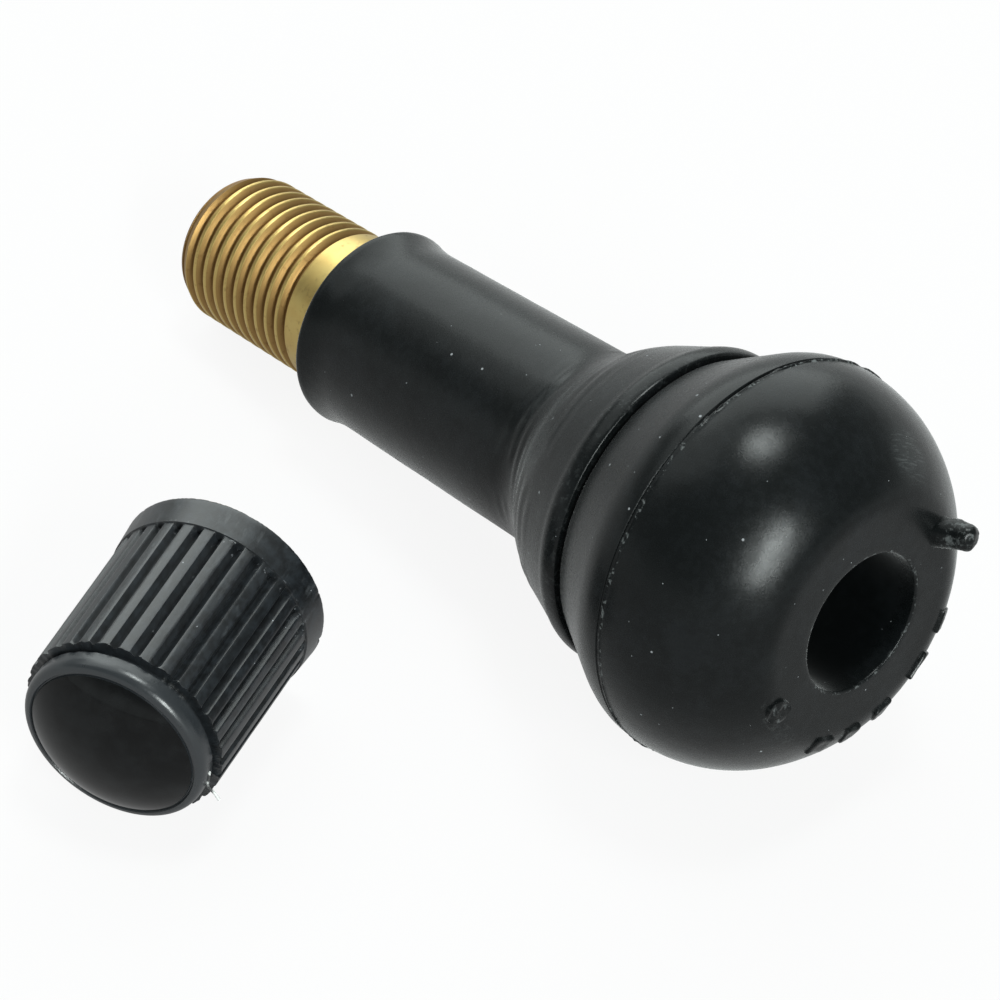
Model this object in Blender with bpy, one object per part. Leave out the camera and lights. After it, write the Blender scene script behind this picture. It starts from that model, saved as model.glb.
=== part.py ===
"""Snap-in tubeless tyre valve with its screw-in core, and its dust cap lying beside it.

The valve lies on its side on the parting ridge of its rubber bulb and on the end of its thread.
Metres, +Z up, origin on the floor under the middle of the whole group.
Each turned piece is drawn as an outline of (radius, height) points and spun about its own axis.
The core's pieces are drawn as (radius, depth below the stem's mouth) instead.
"""

import math

import bmesh
import bpy
from mathutils import Matrix, Vector

# Whole valve, measured along its axis
OVERALL_LENGTH = 0.0425
EXPOSED_STEM_LENGTH = 0.0108

# Rubber bulb, heights from its end face
AIR_HOLE_RADIUS = 0.00322
AIR_HOLE_DEPTH = 0.0090
END_FACE_RADIUS = 0.0051
END_EDGE_LENGTH = 0.0005
BULB_RADIUS = 0.00928
BULB_DOME_LENGTH = 0.0076
PARTING_HEIGHT = 0.00606
PARTING_RIDGE_STEP = 0.0001
PARTING_RIDGE_WIDTH = 0.0003
BULB_CORNER_LENGTH = 0.00081

# Groove that grips the wheel rim, and the shoulder and flare above it
GROOVE_HEIGHT = 0.0106
GROOVE_EDGE_RADIUS = 0.00724
GROOVE_RADIUS = 0.0069
GROOVE_SIDE = 0.0001
GROOVE_WIDTH = 0.00035
SHOULDER_RADIUS = 0.00762
SHOULDER_EDGE = 0.0004
SHOULDER_LENGTH = 0.0009
SHOULDER_CONE_ANGLE = math.radians(22.0)
SHOULDER_CONE_STEP = 0.00017
SHOULDER_CONE_LENGTH = 0.00185
FLARE_BEND_LENGTH = 0.00105
FLARE_SLOPE_LENGTH = 0.00175
FLARE_FILLET_LENGTH = 0.0013

# Rubber neck
NECK_BOTTOM_RADIUS = 0.00482
NECK_TOP_RADIUS = 0.00470
NECK_LIP_RADIUS = 0.00491
NECK_LIP_LENGTH = 0.0018
NECK_LIP_ROUND = 0.0002

# Moulding pips on the bulb's end, at opposite sides of the air hole
PIP_CIRCLE_RADIUS = 0.0052
PIP_ANGLE = math.radians(62.0)
PIP_RADIUS = 0.0006
PIP_LEAN = math.radians(13.0)
PIP_ROOT = 0.0008
LONG_PIP_LENGTH = 0.00165
CUT_PIP_LENGTH = 0.0002

# Brass stem
THREAD_RADIUS = 0.0038
TIP_CHAMFER_LENGTH = 0.0009
TIP_CHAMFER_STEP = 0.0004
THREAD_PITCH = 0.00079375
THREAD_DEPTH = 0.00035
THREAD_CREST_WIDTH = 0.00012
THREAD_TURNS = 10
COLLAR_RADIUS = 0.00376
COLLAR_LENGTH = 0.0012
COLLAR_BURIED_LENGTH = 0.0007
SHANK_RADIUS = 0.0035
SHANK_STEP_LENGTH = 0.0004
FOOT_HEIGHT = 0.0110
FOOT_RADIUS = 0.0041
FOOT_LENGTH = 0.0013
FOOT_EDGE = 0.0003
FOOT_CONE_LENGTH = 0.0007
ANCHOR_GROOVE_COUNT = 2
ANCHOR_GROOVE_DEPTH = 0.00035
ANCHOR_GROOVE_WIDTH = 0.0014
ANCHOR_GROOVE_SIDE = 0.0003
AIR_BORE_RADIUS = 0.0013
MOUTH_CHAMFER = 0.0003

# Core thread and chamber inside the stem, depths from its mouth
CORE_THREAD_RADIUS = 0.00237
SEAT_DEPTH = 0.0072
SEAT_LENGTH = 0.0022
CHAMBER_RADIUS = 0.00195
CHAMBER_DEPTH = 0.0185
CHAMBER_CONE_LENGTH = 0.0010

# Pin of the core
PIN_RADIUS = 0.0004
PIN_DEPTH = 0.0003
PIN_HEAD_RADIUS = 0.00075
PIN_HEAD_LENGTH = 0.0006
PIN_COLLAR_LENGTH = 0.0004
PIN_RIVET_RADIUS = 0.0006
PIN_RIVET_LENGTH = 0.00035
PIN_TRAVEL = 0.0012

# Spring of the core
SPRING_WIRE_RADIUS = 0.00011
SPRING_TURNS = 8

# Swivelling plug of the core
PLUG_BRIDGE_WIDTH = 0.0022
PLUG_BRIDGE_LENGTH = 0.0017
PLUG_WINDOW_DEPTH = 0.0002
PLUG_CAVITY_LENGTH = 0.00195
PLUG_LIP_LENGTH = 0.00045

# Barrel of the core
BARREL_WALL = 0.00025
BARREL_LENGTH = 0.00805
BARREL_FLANGE_STEP = 0.0004
BARREL_FLANGE_LENGTH = 0.0006
BARREL_NECK_LENGTH = 0.00095
BARREL_COLLAR_LENGTH = 0.0007
BARREL_COLLAR_RELIEF = 0.0001
BARREL_BODY_STEP = 0.0002
BARREL_RIDGE_STEP = 0.0002
BARREL_RIDGE_LENGTH = 0.0002
BARREL_FLOOR_LENGTH = 0.0007
BARREL_SEAL_LENGTH = 0.00145

# Cup and seal on the pin's inner end
CUP_SEAL_LENGTH = 0.0009
CUP_WALL = 0.0002
CUP_FLOOR_LENGTH = 0.0005
CUP_SKIRT_LENGTH = 0.0005
CUP_HUB_RADIUS = 0.0008
CUP_HUB_LENGTH = 0.0007

# Dust cap, heights from the top of its dome
CAP_LENGTH = 0.0116
CAP_DOME_RADIUS = 0.00368
CAP_DOME_LENGTH = 0.0011
CAP_BEAD_NOTCH = 0.0001
CAP_BEAD_STEP = 0.00003
CAP_RECESS_DEPTH = 0.0002
CAP_RECESS_WIDTH = 0.00015
CAP_COLLAR_LENGTH = 0.00119
CAP_RIB_COUNT = 30
CAP_RIB_DEPTH = 0.0003
CAP_RIB_ROOT = 0.00015
CAP_RIB_OVERHANG = 0.00003
CAP_RIB_GAP = 0.00019
CAP_RIB_START_RADIUS = 0.00453
CAP_RIB_END_RADIUS = 0.00465
CAP_RIM_LENGTH = 0.0016
CAP_RIM_STEP = 0.00006
CAP_RIM_RADIUS = 0.00482
CAP_RIM_ROUND = 0.0002
CAP_CAVITY_DEPTH = 0.0090
CAP_CAVITY_CONE_LENGTH = 0.0006
CAP_CAVITY_CONE_STEP = 0.0005
CAP_MOUTH_CHAMFER = 0.0004
CAP_THREAD_ENGAGEMENT = 0.00036

# Clearances
BOND_GAP = 0.00005
SEAL_GAP = 0.00005
THREAD_CLEARANCE = 0.00006
SWIVEL_CLEARANCE = 0.00006
SWIVEL_END_CLEARANCE = 0.0001
PIN_CLEARANCE = 0.0001
PIN_STOP_CLEARANCE = 0.0001
SPRING_CLEARANCE = 0.00012
SPRING_END_GAP = 0.00005

# Places on the floor
VALVE_END_X = 0.02057
VALVE_AXIS_Y = 0.00907
CAP_DOME_X = 0.00396
CAP_DOME_Y = -0.01771
CAP_HEADING = math.radians(-63.8)

# Facets
BODY_SEGMENTS = 32
CAP_SEGMENTS = 60
CORE_SEGMENTS = 20
PIN_SEGMENTS = 16
PIP_SEGMENTS = 10
DOME_STEPS = 9
CAP_DOME_STEPS = 5
RIB_STEPS = 4
SPRING_STEPS_PER_TURN = 8
MERGE_DISTANCE = 1e-7
SHARP_ANGLE = math.radians(35.0)

# Radii and places that follow from the sizes above
NECK_END_HEIGHT = OVERALL_LENGTH - EXPOSED_STEM_LENGTH
CORE_BORE_RADIUS = CORE_THREAD_RADIUS + THREAD_CLEARANCE
SPRING_RADIUS = PIN_RADIUS + SPRING_CLEARANCE + SPRING_WIRE_RADIUS
PIN_COLLAR_RADIUS = SPRING_RADIUS + SPRING_WIRE_RADIUS
PIN_HOLE_RADIUS = PIN_RADIUS + PIN_CLEARANCE
BARREL_BORE_RADIUS = PIN_COLLAR_RADIUS + SPRING_CLEARANCE
BARREL_NECK_RADIUS = BARREL_BORE_RADIUS + BARREL_WALL
BARREL_FLANGE_RADIUS = BARREL_NECK_RADIUS + BARREL_FLANGE_STEP
BARREL_BODY_RADIUS = BARREL_NECK_RADIUS + BARREL_BODY_STEP
PLUG_TOP_DEPTH = PIN_DEPTH + PIN_HEAD_LENGTH + PIN_TRAVEL + PIN_STOP_CLEARANCE
PLUG_CAVITY_DEPTH = PLUG_TOP_DEPTH + PLUG_BRIDGE_LENGTH
PLUG_LIP_DEPTH = PLUG_CAVITY_DEPTH + PLUG_CAVITY_LENGTH
BARREL_NECK_DEPTH = PLUG_LIP_DEPTH - SWIVEL_END_CLEARANCE
BARREL_TOP_DEPTH = BARREL_NECK_DEPTH - BARREL_FLANGE_LENGTH
BARREL_COLLAR_DEPTH = BARREL_NECK_DEPTH + BARREL_NECK_LENGTH
BARREL_BODY_DEPTH = BARREL_COLLAR_DEPTH + BARREL_COLLAR_LENGTH
BARREL_SEAL_DEPTH = BARREL_BODY_DEPTH + SEAL_GAP
BARREL_SEAL_END_DEPTH = BARREL_SEAL_DEPTH + BARREL_SEAL_LENGTH
BARREL_RIDGE_DEPTH = BARREL_SEAL_END_DEPTH + SEAL_GAP
BARREL_END_DEPTH = BARREL_TOP_DEPTH + BARREL_LENGTH
BARREL_FLOOR_DEPTH = BARREL_END_DEPTH - BARREL_FLOOR_LENGTH
PIN_COLLAR_DEPTH = BARREL_TOP_DEPTH + PIN_COLLAR_LENGTH
SPRING_TOP_DEPTH = PIN_COLLAR_DEPTH + PIN_COLLAR_LENGTH + SPRING_END_GAP
CUP_SEAL_DEPTH = BARREL_END_DEPTH + SEAL_GAP
CUP_FLOOR_DEPTH = CUP_SEAL_DEPTH + CUP_SEAL_LENGTH + SEAL_GAP
CUP_HUB_DEPTH = CUP_FLOOR_DEPTH + CUP_FLOOR_LENGTH
CUP_END_DEPTH = CUP_HUB_DEPTH + CUP_HUB_LENGTH
PIN_RIVET_DEPTH = CUP_END_DEPTH + SEAL_GAP
CAP_COLLAR_END = CAP_DOME_LENGTH + CAP_COLLAR_LENGTH
CAP_RIB_START = CAP_COLLAR_END - CAP_RIB_OVERHANG
CAP_RIM_START = CAP_LENGTH - CAP_RIM_LENGTH


def bend(start, corner, end, steps):
    """Points on a smooth curve from start to end, pulled towards the corner."""
    points = []
    for step in range(steps + 1):
        t = step / steps
        points.append(tuple(
            (1 - t) ** 2 * a + 2 * t * (1 - t) * b + t ** 2 * c
            for a, b, c in zip(start, corner, end)))
    return points


def middle(first, second):
    """The point half way between two outline points."""
    return tuple((a + b) / 2 for a, b in zip(first, second))


def add_material(name, colour, roughness, metallic=0.0):
    """A plain Principled material."""
    finish = bpy.data.materials.new(name)
    finish.use_nodes = True
    shader = finish.node_tree.nodes["Principled BSDF"]
    shader.inputs["Base Color"].default_value = (*colour, 1.0)
    shader.inputs["Roughness"].default_value = roughness
    shader.inputs["Metallic"].default_value = metallic
    return finish


def add_object(name, bm, finish, parent):
    """Turn a bmesh into a named, smooth-shaded object that hangs on its axis."""
    bmesh.ops.recalc_face_normals(bm, faces=bm.faces)
    mesh = bpy.data.meshes.new(name)
    bm.to_mesh(mesh)
    bm.free()
    mesh.shade_smooth()
    mesh.set_sharp_from_angle(angle=SHARP_ANGLE)
    mesh.materials.append(finish)
    piece = bpy.data.objects.new(name, mesh)
    bpy.context.scene.collection.objects.link(piece)
    piece.parent = parent
    return piece


def combine(piece, name, bm, operation):
    """Cut a shape from a piece, or join it on, with a live Boolean."""
    tool = add_object(name, bm, piece.data.materials[0], piece.parent)
    tool.hide_render = True
    tool.display_type = "WIRE"
    modifier = piece.modifiers.new(name, "BOOLEAN")
    modifier.operation = operation
    modifier.solver = "EXACT"
    modifier.object = tool


def spun(outline, segments, solid=False):
    """Spin (radius, height) points once round the Z axis.

    A ring's outline closes on itself, and a solid's outline starts and ends on the axis.
    """
    bm = bmesh.new()
    verts = [bm.verts.new((radius, 0.0, height)) for radius, height in outline]
    edges = [bm.edges.new(pair) for pair in zip(verts, verts[1:])]
    if not solid:
        edges.append(bm.edges.new((verts[-1], verts[0])))
    bmesh.ops.spin(
        bm, geom=verts + edges, cent=(0.0, 0.0, 0.0), axis=(0.0, 0.0, 1.0),
        angle=math.tau, steps=segments, use_merge=True, use_duplicate=False)
    bmesh.ops.remove_doubles(bm, verts=bm.verts, dist=MERGE_DISTANCE)
    return bm


def spun_by_depth(outline, segments, solid=False):
    """Spin (radius, depth) points, with depths going down from the stem's mouth."""
    return spun([(radius, -depth) for radius, depth in outline], segments, solid)


def lying_axis(name, low, high, x, y, heading):
    """An empty for a piece that lies on two of its circles, each (radius, height).

    The piece's own +Z runs towards -X before it is turned by the heading.
    """
    tilt = math.atan2(low[0] - high[0], high[1] - low[1])
    empty = bpy.data.objects.new(name, None)
    bpy.context.scene.collection.objects.link(empty)
    empty.location = (x, y, low[0] * math.cos(tilt) + low[1] * math.sin(tilt))
    empty.rotation_euler = (0.0, -(math.pi / 2 + tilt), heading)
    return empty


def child_axis(name, parent, height):
    """An empty further up a parent's axis."""
    empty = bpy.data.objects.new(name, None)
    bpy.context.scene.collection.objects.link(empty)
    empty.parent = parent
    empty.location = (0.0, 0.0, height)
    return empty


def bulb_outline():
    """The bulb from the air hole's edge, over its dome, to the rim groove."""
    def dome_radius(height):
        reach = (PARTING_HEIGHT - height) / BULB_DOME_LENGTH
        return BULB_RADIUS * math.sqrt(1 - reach ** 2)

    edge_end = (dome_radius(END_EDGE_LENGTH), END_EDGE_LENGTH)
    points = [(AIR_HOLE_RADIUS, 0.0)]
    points += bend((END_FACE_RADIUS, 0.0), middle((END_FACE_RADIUS, 0.0), (edge_end[0], 0.0)),
                   edge_end, 3)
    ridge_start = PARTING_HEIGHT - PARTING_RIDGE_WIDTH / 2
    ridge_end = PARTING_HEIGHT + PARTING_RIDGE_WIDTH / 2
    first_angle = math.acos((PARTING_HEIGHT - END_EDGE_LENGTH) / BULB_DOME_LENGTH)
    last_angle = math.acos((PARTING_HEIGHT - ridge_start) / BULB_DOME_LENGTH)
    for step in range(1, DOME_STEPS + 1):
        angle = first_angle + (last_angle - first_angle) * step / DOME_STEPS
        height = PARTING_HEIGHT - BULB_DOME_LENGTH * math.cos(angle)
        points.append((dome_radius(height), height))
    points.append((BULB_RADIUS + PARTING_RIDGE_STEP, PARTING_HEIGHT))
    corner = (BULB_RADIUS, ridge_end + BULB_CORNER_LENGTH)
    cone_slope = (BULB_RADIUS - GROOVE_EDGE_RADIUS) / (GROOVE_HEIGHT - corner[1])
    cone_start = (BULB_RADIUS - cone_slope * BULB_CORNER_LENGTH, corner[1] + BULB_CORNER_LENGTH)
    points += bend((BULB_RADIUS, ridge_end), corner, cone_start, 4)
    points.append((GROOVE_EDGE_RADIUS, GROOVE_HEIGHT))
    points.append((GROOVE_RADIUS, GROOVE_HEIGHT + GROOVE_SIDE))
    return points


def neck_outline():
    """The shoulder above the rim groove, the flare and the neck up to its open end."""
    groove_top = GROOVE_HEIGHT + GROOVE_WIDTH
    cone_start = (SHOULDER_RADIUS - SHOULDER_CONE_STEP, groove_top + SHOULDER_LENGTH)
    crest = (SHOULDER_RADIUS, groove_top + SHOULDER_LENGTH / 2)
    cone_slope = math.tan(SHOULDER_CONE_ANGLE)
    cone_end = (cone_start[0] - cone_slope * SHOULDER_CONE_LENGTH,
                cone_start[1] + SHOULDER_CONE_LENGTH)
    flare_corner = (cone_end[0] - cone_slope * FLARE_BEND_LENGTH, cone_end[1] + FLARE_BEND_LENGTH)
    neck_corner = (NECK_BOTTOM_RADIUS, flare_corner[1] + FLARE_SLOPE_LENGTH)
    neck_start = (NECK_BOTTOM_RADIUS, neck_corner[1] + FLARE_FILLET_LENGTH)
    flare_middle = middle(flare_corner, neck_corner)
    lip_start = (NECK_TOP_RADIUS, NECK_END_HEIGHT - NECK_LIP_LENGTH)
    lip_edge = (NECK_LIP_RADIUS, NECK_END_HEIGHT - NECK_LIP_ROUND)
    points = [(GROOVE_RADIUS, groove_top)]
    points += bend((SHOULDER_RADIUS - SHOULDER_EDGE, groove_top), (SHOULDER_RADIUS, groove_top),
                   crest, 3)
    points += bend(crest, (SHOULDER_RADIUS, middle(crest, cone_start)[1]), cone_start, 2)[1:]
    points += bend(cone_end, flare_corner, flare_middle, 3)
    points += bend(flare_middle, neck_corner, neck_start, 4)[1:]
    points += bend(lip_start, (NECK_TOP_RADIUS, middle(lip_start, lip_edge)[1]), lip_edge, 3)
    points += bend(lip_edge, (NECK_LIP_RADIUS, NECK_END_HEIGHT),
                   (NECK_LIP_RADIUS - NECK_LIP_ROUND, NECK_END_HEIGHT), 2)[1:]
    return points


def buried_stem_outline():
    """The stem's outside from its foot up to the collar that leaves the rubber neck."""
    foot_top = FOOT_HEIGHT + FOOT_LENGTH
    shank_start = foot_top + FOOT_CONE_LENGTH
    shank_end = NECK_END_HEIGHT - COLLAR_BURIED_LENGTH - SHANK_STEP_LENGTH
    points = [
        (FOOT_RADIUS - FOOT_EDGE, FOOT_HEIGHT),
        (FOOT_RADIUS, FOOT_HEIGHT + FOOT_EDGE),
        (FOOT_RADIUS, foot_top),
        (SHANK_RADIUS, shank_start)]
    pitch = (shank_end - shank_start) / (ANCHOR_GROOVE_COUNT + 1)
    floor = SHANK_RADIUS - ANCHOR_GROOVE_DEPTH
    for index in range(1, ANCHOR_GROOVE_COUNT + 1):
        start = shank_start + index * pitch - ANCHOR_GROOVE_WIDTH / 2
        end = start + ANCHOR_GROOVE_WIDTH
        points += [
            (SHANK_RADIUS, start),
            (floor, start + ANCHOR_GROOVE_SIDE),
            (floor, end - ANCHOR_GROOVE_SIDE),
            (SHANK_RADIUS, end)]
    points += [
        (SHANK_RADIUS, shank_end),
        (COLLAR_RADIUS, shank_end + SHANK_STEP_LENGTH)]
    return points


def add_rubber_body(axis, finish):
    """One moulding: bulb, rim groove, shoulder and neck, bonded round the stem."""
    pocket = [(radius + BOND_GAP, height) for radius, height in buried_stem_outline()]
    pocket[0] = (pocket[0][0], FOOT_HEIGHT - BOND_GAP)
    outline = bulb_outline() + neck_outline()
    outline.append((COLLAR_RADIUS + BOND_GAP, NECK_END_HEIGHT))
    outline += reversed(pocket)
    outline.append((AIR_BORE_RADIUS, FOOT_HEIGHT - BOND_GAP))
    outline.append((AIR_BORE_RADIUS, AIR_HOLE_DEPTH))
    outline.append((AIR_HOLE_RADIUS, AIR_HOLE_DEPTH))
    body = add_object("rubber_body", spun(outline, BODY_SEGMENTS), finish, axis)
    combine(body, "long_pip", pip(PIP_ANGLE, LONG_PIP_LENGTH), "UNION")
    combine(body, "cut_pip", pip(PIP_ANGLE + math.pi, CUT_PIP_LENGTH), "UNION")
    return body


def pip(angle, length):
    """A thin peg that stands out of the bulb's end and leans away from the air hole."""
    bm = bmesh.new()
    bmesh.ops.create_cone(
        bm, cap_ends=True, segments=PIP_SEGMENTS, radius1=PIP_RADIUS, radius2=PIP_RADIUS,
        depth=PIP_ROOT + length)
    lean = Matrix.Rotation(math.pi - PIP_LEAN, 4, "Y")
    place = Matrix.Translation((PIP_CIRCLE_RADIUS, 0.0, 0.0)) @ lean
    place = place @ Matrix.Translation((0.0, 0.0, (length - PIP_ROOT) / 2))
    bmesh.ops.transform(bm, matrix=Matrix.Rotation(angle, 4, "Z") @ place, verts=bm.verts)
    return bm


def thread_groove():
    """The screw-shaped cutter for the outer thread, right-handed towards the tip.

    The crest meets the chamfer's edge on the side that the stem lies on.
    """
    thread_end = OVERALL_LENGTH - TIP_CHAMFER_LENGTH
    start = thread_end - THREAD_CREST_WIDTH / 2 - THREAD_TURNS * THREAD_PITCH
    turns = math.ceil((OVERALL_LENGTH - start) / THREAD_PITCH)
    overcut = THREAD_DEPTH * THREAD_CREST_WIDTH / THREAD_PITCH / 2
    half_width = (THREAD_PITCH - THREAD_CREST_WIDTH) / 2 * (1 + overcut / THREAD_DEPTH)
    bm = bmesh.new()
    verts = [bm.verts.new((radius, 0.0, start + height)) for radius, height in (
        (THREAD_RADIUS + overcut, half_width),
        (THREAD_RADIUS - THREAD_DEPTH, 0.0),
        (THREAD_RADIUS + overcut, -half_width))]
    edges = [bm.edges.new(pair) for pair in zip(verts, verts[1:] + verts[:1])]
    bmesh.ops.spin(
        bm, geom=verts + edges, cent=(0.0, 0.0, 0.0), axis=(0.0, 0.0, 1.0),
        dvec=(0.0, 0.0, THREAD_PITCH / BODY_SEGMENTS), angle=math.tau * turns,
        steps=turns * BODY_SEGMENTS, use_merge=False, use_duplicate=False)
    bmesh.ops.holes_fill(bm, edges=[edge for edge in bm.edges if edge.is_boundary], sides=0)
    return bm


def add_stem(axis, finish):
    """The turned brass insert: foot, grooved shank, collar, threaded end and core chamber."""
    thread_start = NECK_END_HEIGHT + COLLAR_LENGTH
    outline = buried_stem_outline()
    outline += [
        (COLLAR_RADIUS, thread_start),
        (THREAD_RADIUS, thread_start),
        (THREAD_RADIUS, OVERALL_LENGTH - TIP_CHAMFER_LENGTH),
        (THREAD_RADIUS - TIP_CHAMFER_STEP, OVERALL_LENGTH),
        (CORE_BORE_RADIUS + MOUTH_CHAMFER, OVERALL_LENGTH),
        (CORE_BORE_RADIUS, OVERALL_LENGTH - MOUTH_CHAMFER),
        (CORE_BORE_RADIUS, OVERALL_LENGTH - SEAT_DEPTH),
        (CHAMBER_RADIUS, OVERALL_LENGTH - SEAT_DEPTH - SEAT_LENGTH),
        (CHAMBER_RADIUS, OVERALL_LENGTH - CHAMBER_DEPTH),
        (AIR_BORE_RADIUS, OVERALL_LENGTH - CHAMBER_DEPTH - CHAMBER_CONE_LENGTH),
        (AIR_BORE_RADIUS, FOOT_HEIGHT)]
    stem = add_object("stem", spun(outline, BODY_SEGMENTS), finish, axis)
    combine(stem, "outer_thread", thread_groove(), "DIFFERENCE")
    return stem


def add_core_plug(axis, finish):
    """The threaded head: a bridge for the key, two air windows and a lip round the barrel."""
    cavity_radius = BARREL_FLANGE_RADIUS + SWIVEL_CLEARANCE
    lip_end = PLUG_LIP_DEPTH + PLUG_LIP_LENGTH
    outline = [
        (PIN_HOLE_RADIUS, PLUG_TOP_DEPTH),
        (CORE_THREAD_RADIUS, PLUG_TOP_DEPTH),
        (CORE_THREAD_RADIUS, lip_end),
        (BARREL_NECK_RADIUS + SWIVEL_CLEARANCE, lip_end),
        (BARREL_NECK_RADIUS + SWIVEL_CLEARANCE, PLUG_LIP_DEPTH),
        (cavity_radius, PLUG_LIP_DEPTH),
        (cavity_radius, PLUG_CAVITY_DEPTH),
        (PIN_HOLE_RADIUS, PLUG_CAVITY_DEPTH)]
    plug = add_object("core_plug", spun_by_depth(outline, CORE_SEGMENTS), finish, axis)
    overcut = CORE_THREAD_RADIUS
    top = overcut - PLUG_TOP_DEPTH
    bottom = -(PLUG_CAVITY_DEPTH + PLUG_WINDOW_DEPTH)
    for side, name in ((1, "flat_left"), (-1, "flat_right")):
        bm = bmesh.new()
        size = Vector((2 * CORE_THREAD_RADIUS + overcut, CORE_THREAD_RADIUS, top - bottom))
        centre = Vector((0.0, side * (PLUG_BRIDGE_WIDTH + size.y) / 2, (top + bottom) / 2))
        bmesh.ops.create_cube(bm, matrix=Matrix.Translation(centre) @ Matrix.Diagonal((*size, 1)))
        combine(plug, name, bm, "DIFFERENCE")
    return plug


def add_core_barrel(axis, finish):
    """The tube that the pin slides in, with a flange in the plug and a collar for its seal."""
    outline = [
        (BARREL_BORE_RADIUS, BARREL_TOP_DEPTH),
        (BARREL_FLANGE_RADIUS, BARREL_TOP_DEPTH),
        (BARREL_FLANGE_RADIUS, BARREL_NECK_DEPTH),
        (BARREL_NECK_RADIUS, BARREL_NECK_DEPTH),
        (BARREL_NECK_RADIUS, BARREL_COLLAR_DEPTH),
        (CHAMBER_RADIUS - BARREL_COLLAR_RELIEF, BARREL_COLLAR_DEPTH),
        (CHAMBER_RADIUS - BARREL_COLLAR_RELIEF, BARREL_BODY_DEPTH),
        (BARREL_BODY_RADIUS, BARREL_BODY_DEPTH),
        (BARREL_BODY_RADIUS, BARREL_RIDGE_DEPTH),
        (BARREL_BODY_RADIUS + BARREL_RIDGE_STEP, BARREL_RIDGE_DEPTH),
        (BARREL_BODY_RADIUS, BARREL_RIDGE_DEPTH + BARREL_RIDGE_LENGTH),
        (BARREL_BODY_RADIUS, BARREL_END_DEPTH),
        (PIN_HOLE_RADIUS, BARREL_END_DEPTH),
        (PIN_HOLE_RADIUS, BARREL_FLOOR_DEPTH),
        (BARREL_BORE_RADIUS, BARREL_FLOOR_DEPTH)]
    return add_object("core_barrel", spun_by_depth(outline, CORE_SEGMENTS), finish, axis)


def add_barrel_seal(axis, finish):
    """The tapered ring that seals the barrel against the cone inside the stem."""
    def seat_radius(depth):
        share = (depth - SEAT_DEPTH) / SEAT_LENGTH
        return CORE_BORE_RADIUS + share * (CHAMBER_RADIUS - CORE_BORE_RADIUS)

    inner = BARREL_BODY_RADIUS + SEAL_GAP
    outline = [
        (inner, BARREL_SEAL_DEPTH),
        (seat_radius(BARREL_SEAL_DEPTH) - SEAL_GAP, BARREL_SEAL_DEPTH),
        (seat_radius(BARREL_SEAL_END_DEPTH) - SEAL_GAP, BARREL_SEAL_END_DEPTH),
        (inner, BARREL_SEAL_END_DEPTH)]
    return add_object("barrel_seal", spun_by_depth(outline, CORE_SEGMENTS), finish, axis)


def add_core_pin(axis, finish):
    """The pin that an inflator presses, with a head, a collar for the spring and a riveted end."""
    rivet_end = PIN_RIVET_DEPTH + PIN_RIVET_LENGTH
    outline = [
        (0.0, PIN_DEPTH),
        (PIN_HEAD_RADIUS, PIN_DEPTH),
        (PIN_HEAD_RADIUS, PIN_DEPTH + PIN_HEAD_LENGTH),
        (PIN_RADIUS, PIN_DEPTH + PIN_HEAD_LENGTH),
        (PIN_RADIUS, PIN_COLLAR_DEPTH),
        (PIN_COLLAR_RADIUS, PIN_COLLAR_DEPTH),
        (PIN_COLLAR_RADIUS, PIN_COLLAR_DEPTH + PIN_COLLAR_LENGTH),
        (PIN_RADIUS, PIN_COLLAR_DEPTH + PIN_COLLAR_LENGTH),
        (PIN_RADIUS, PIN_RIVET_DEPTH),
        (PIN_RIVET_RADIUS, PIN_RIVET_DEPTH),
        (PIN_RIVET_RADIUS, rivet_end),
        (0.0, rivet_end)]
    return add_object("core_pin", spun_by_depth(outline, PIN_SEGMENTS, solid=True), finish, axis)


def add_core_spring(axis, finish):
    """The coil spring between the pin's collar and the barrel's floor."""
    top = SPRING_TOP_DEPTH + SPRING_WIRE_RADIUS
    bottom = BARREL_FLOOR_DEPTH - SPRING_END_GAP - SPRING_WIRE_RADIUS
    steps = SPRING_TURNS * SPRING_STEPS_PER_TURN
    curve = bpy.data.curves.new("core_spring", "CURVE")
    curve.dimensions = "3D"
    curve.bevel_depth = SPRING_WIRE_RADIUS
    curve.bevel_resolution = 1
    curve.use_fill_caps = True
    curve.materials.append(finish)
    coil = curve.splines.new("POLY")
    coil.points.add(steps)
    for step, point in enumerate(coil.points):
        angle = math.tau * step / SPRING_STEPS_PER_TURN
        depth = top + (bottom - top) * step / steps
        point.co = (SPRING_RADIUS * math.cos(angle), SPRING_RADIUS * math.sin(angle), -depth, 1.0)
    spring = bpy.data.objects.new("core_spring", curve)
    bpy.context.scene.collection.objects.link(spring)
    spring.parent = axis
    return spring


def add_cup(axis, finish):
    """The cup on the pin's end that carries the inner seal."""
    hole = PIN_RADIUS + SEAL_GAP
    inside = BARREL_BODY_RADIUS + SEAL_GAP
    skirt_top = CUP_FLOOR_DEPTH - CUP_SKIRT_LENGTH
    outline = [
        (hole, CUP_FLOOR_DEPTH),
        (inside, CUP_FLOOR_DEPTH),
        (inside, skirt_top),
        (inside + CUP_WALL, skirt_top),
        (inside + CUP_WALL, CUP_HUB_DEPTH),
        (CUP_HUB_RADIUS, CUP_HUB_DEPTH),
        (CUP_HUB_RADIUS, CUP_END_DEPTH),
        (hole, CUP_END_DEPTH)]
    return add_object("plunger_cup", spun_by_depth(outline, CORE_SEGMENTS), finish, axis)


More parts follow.
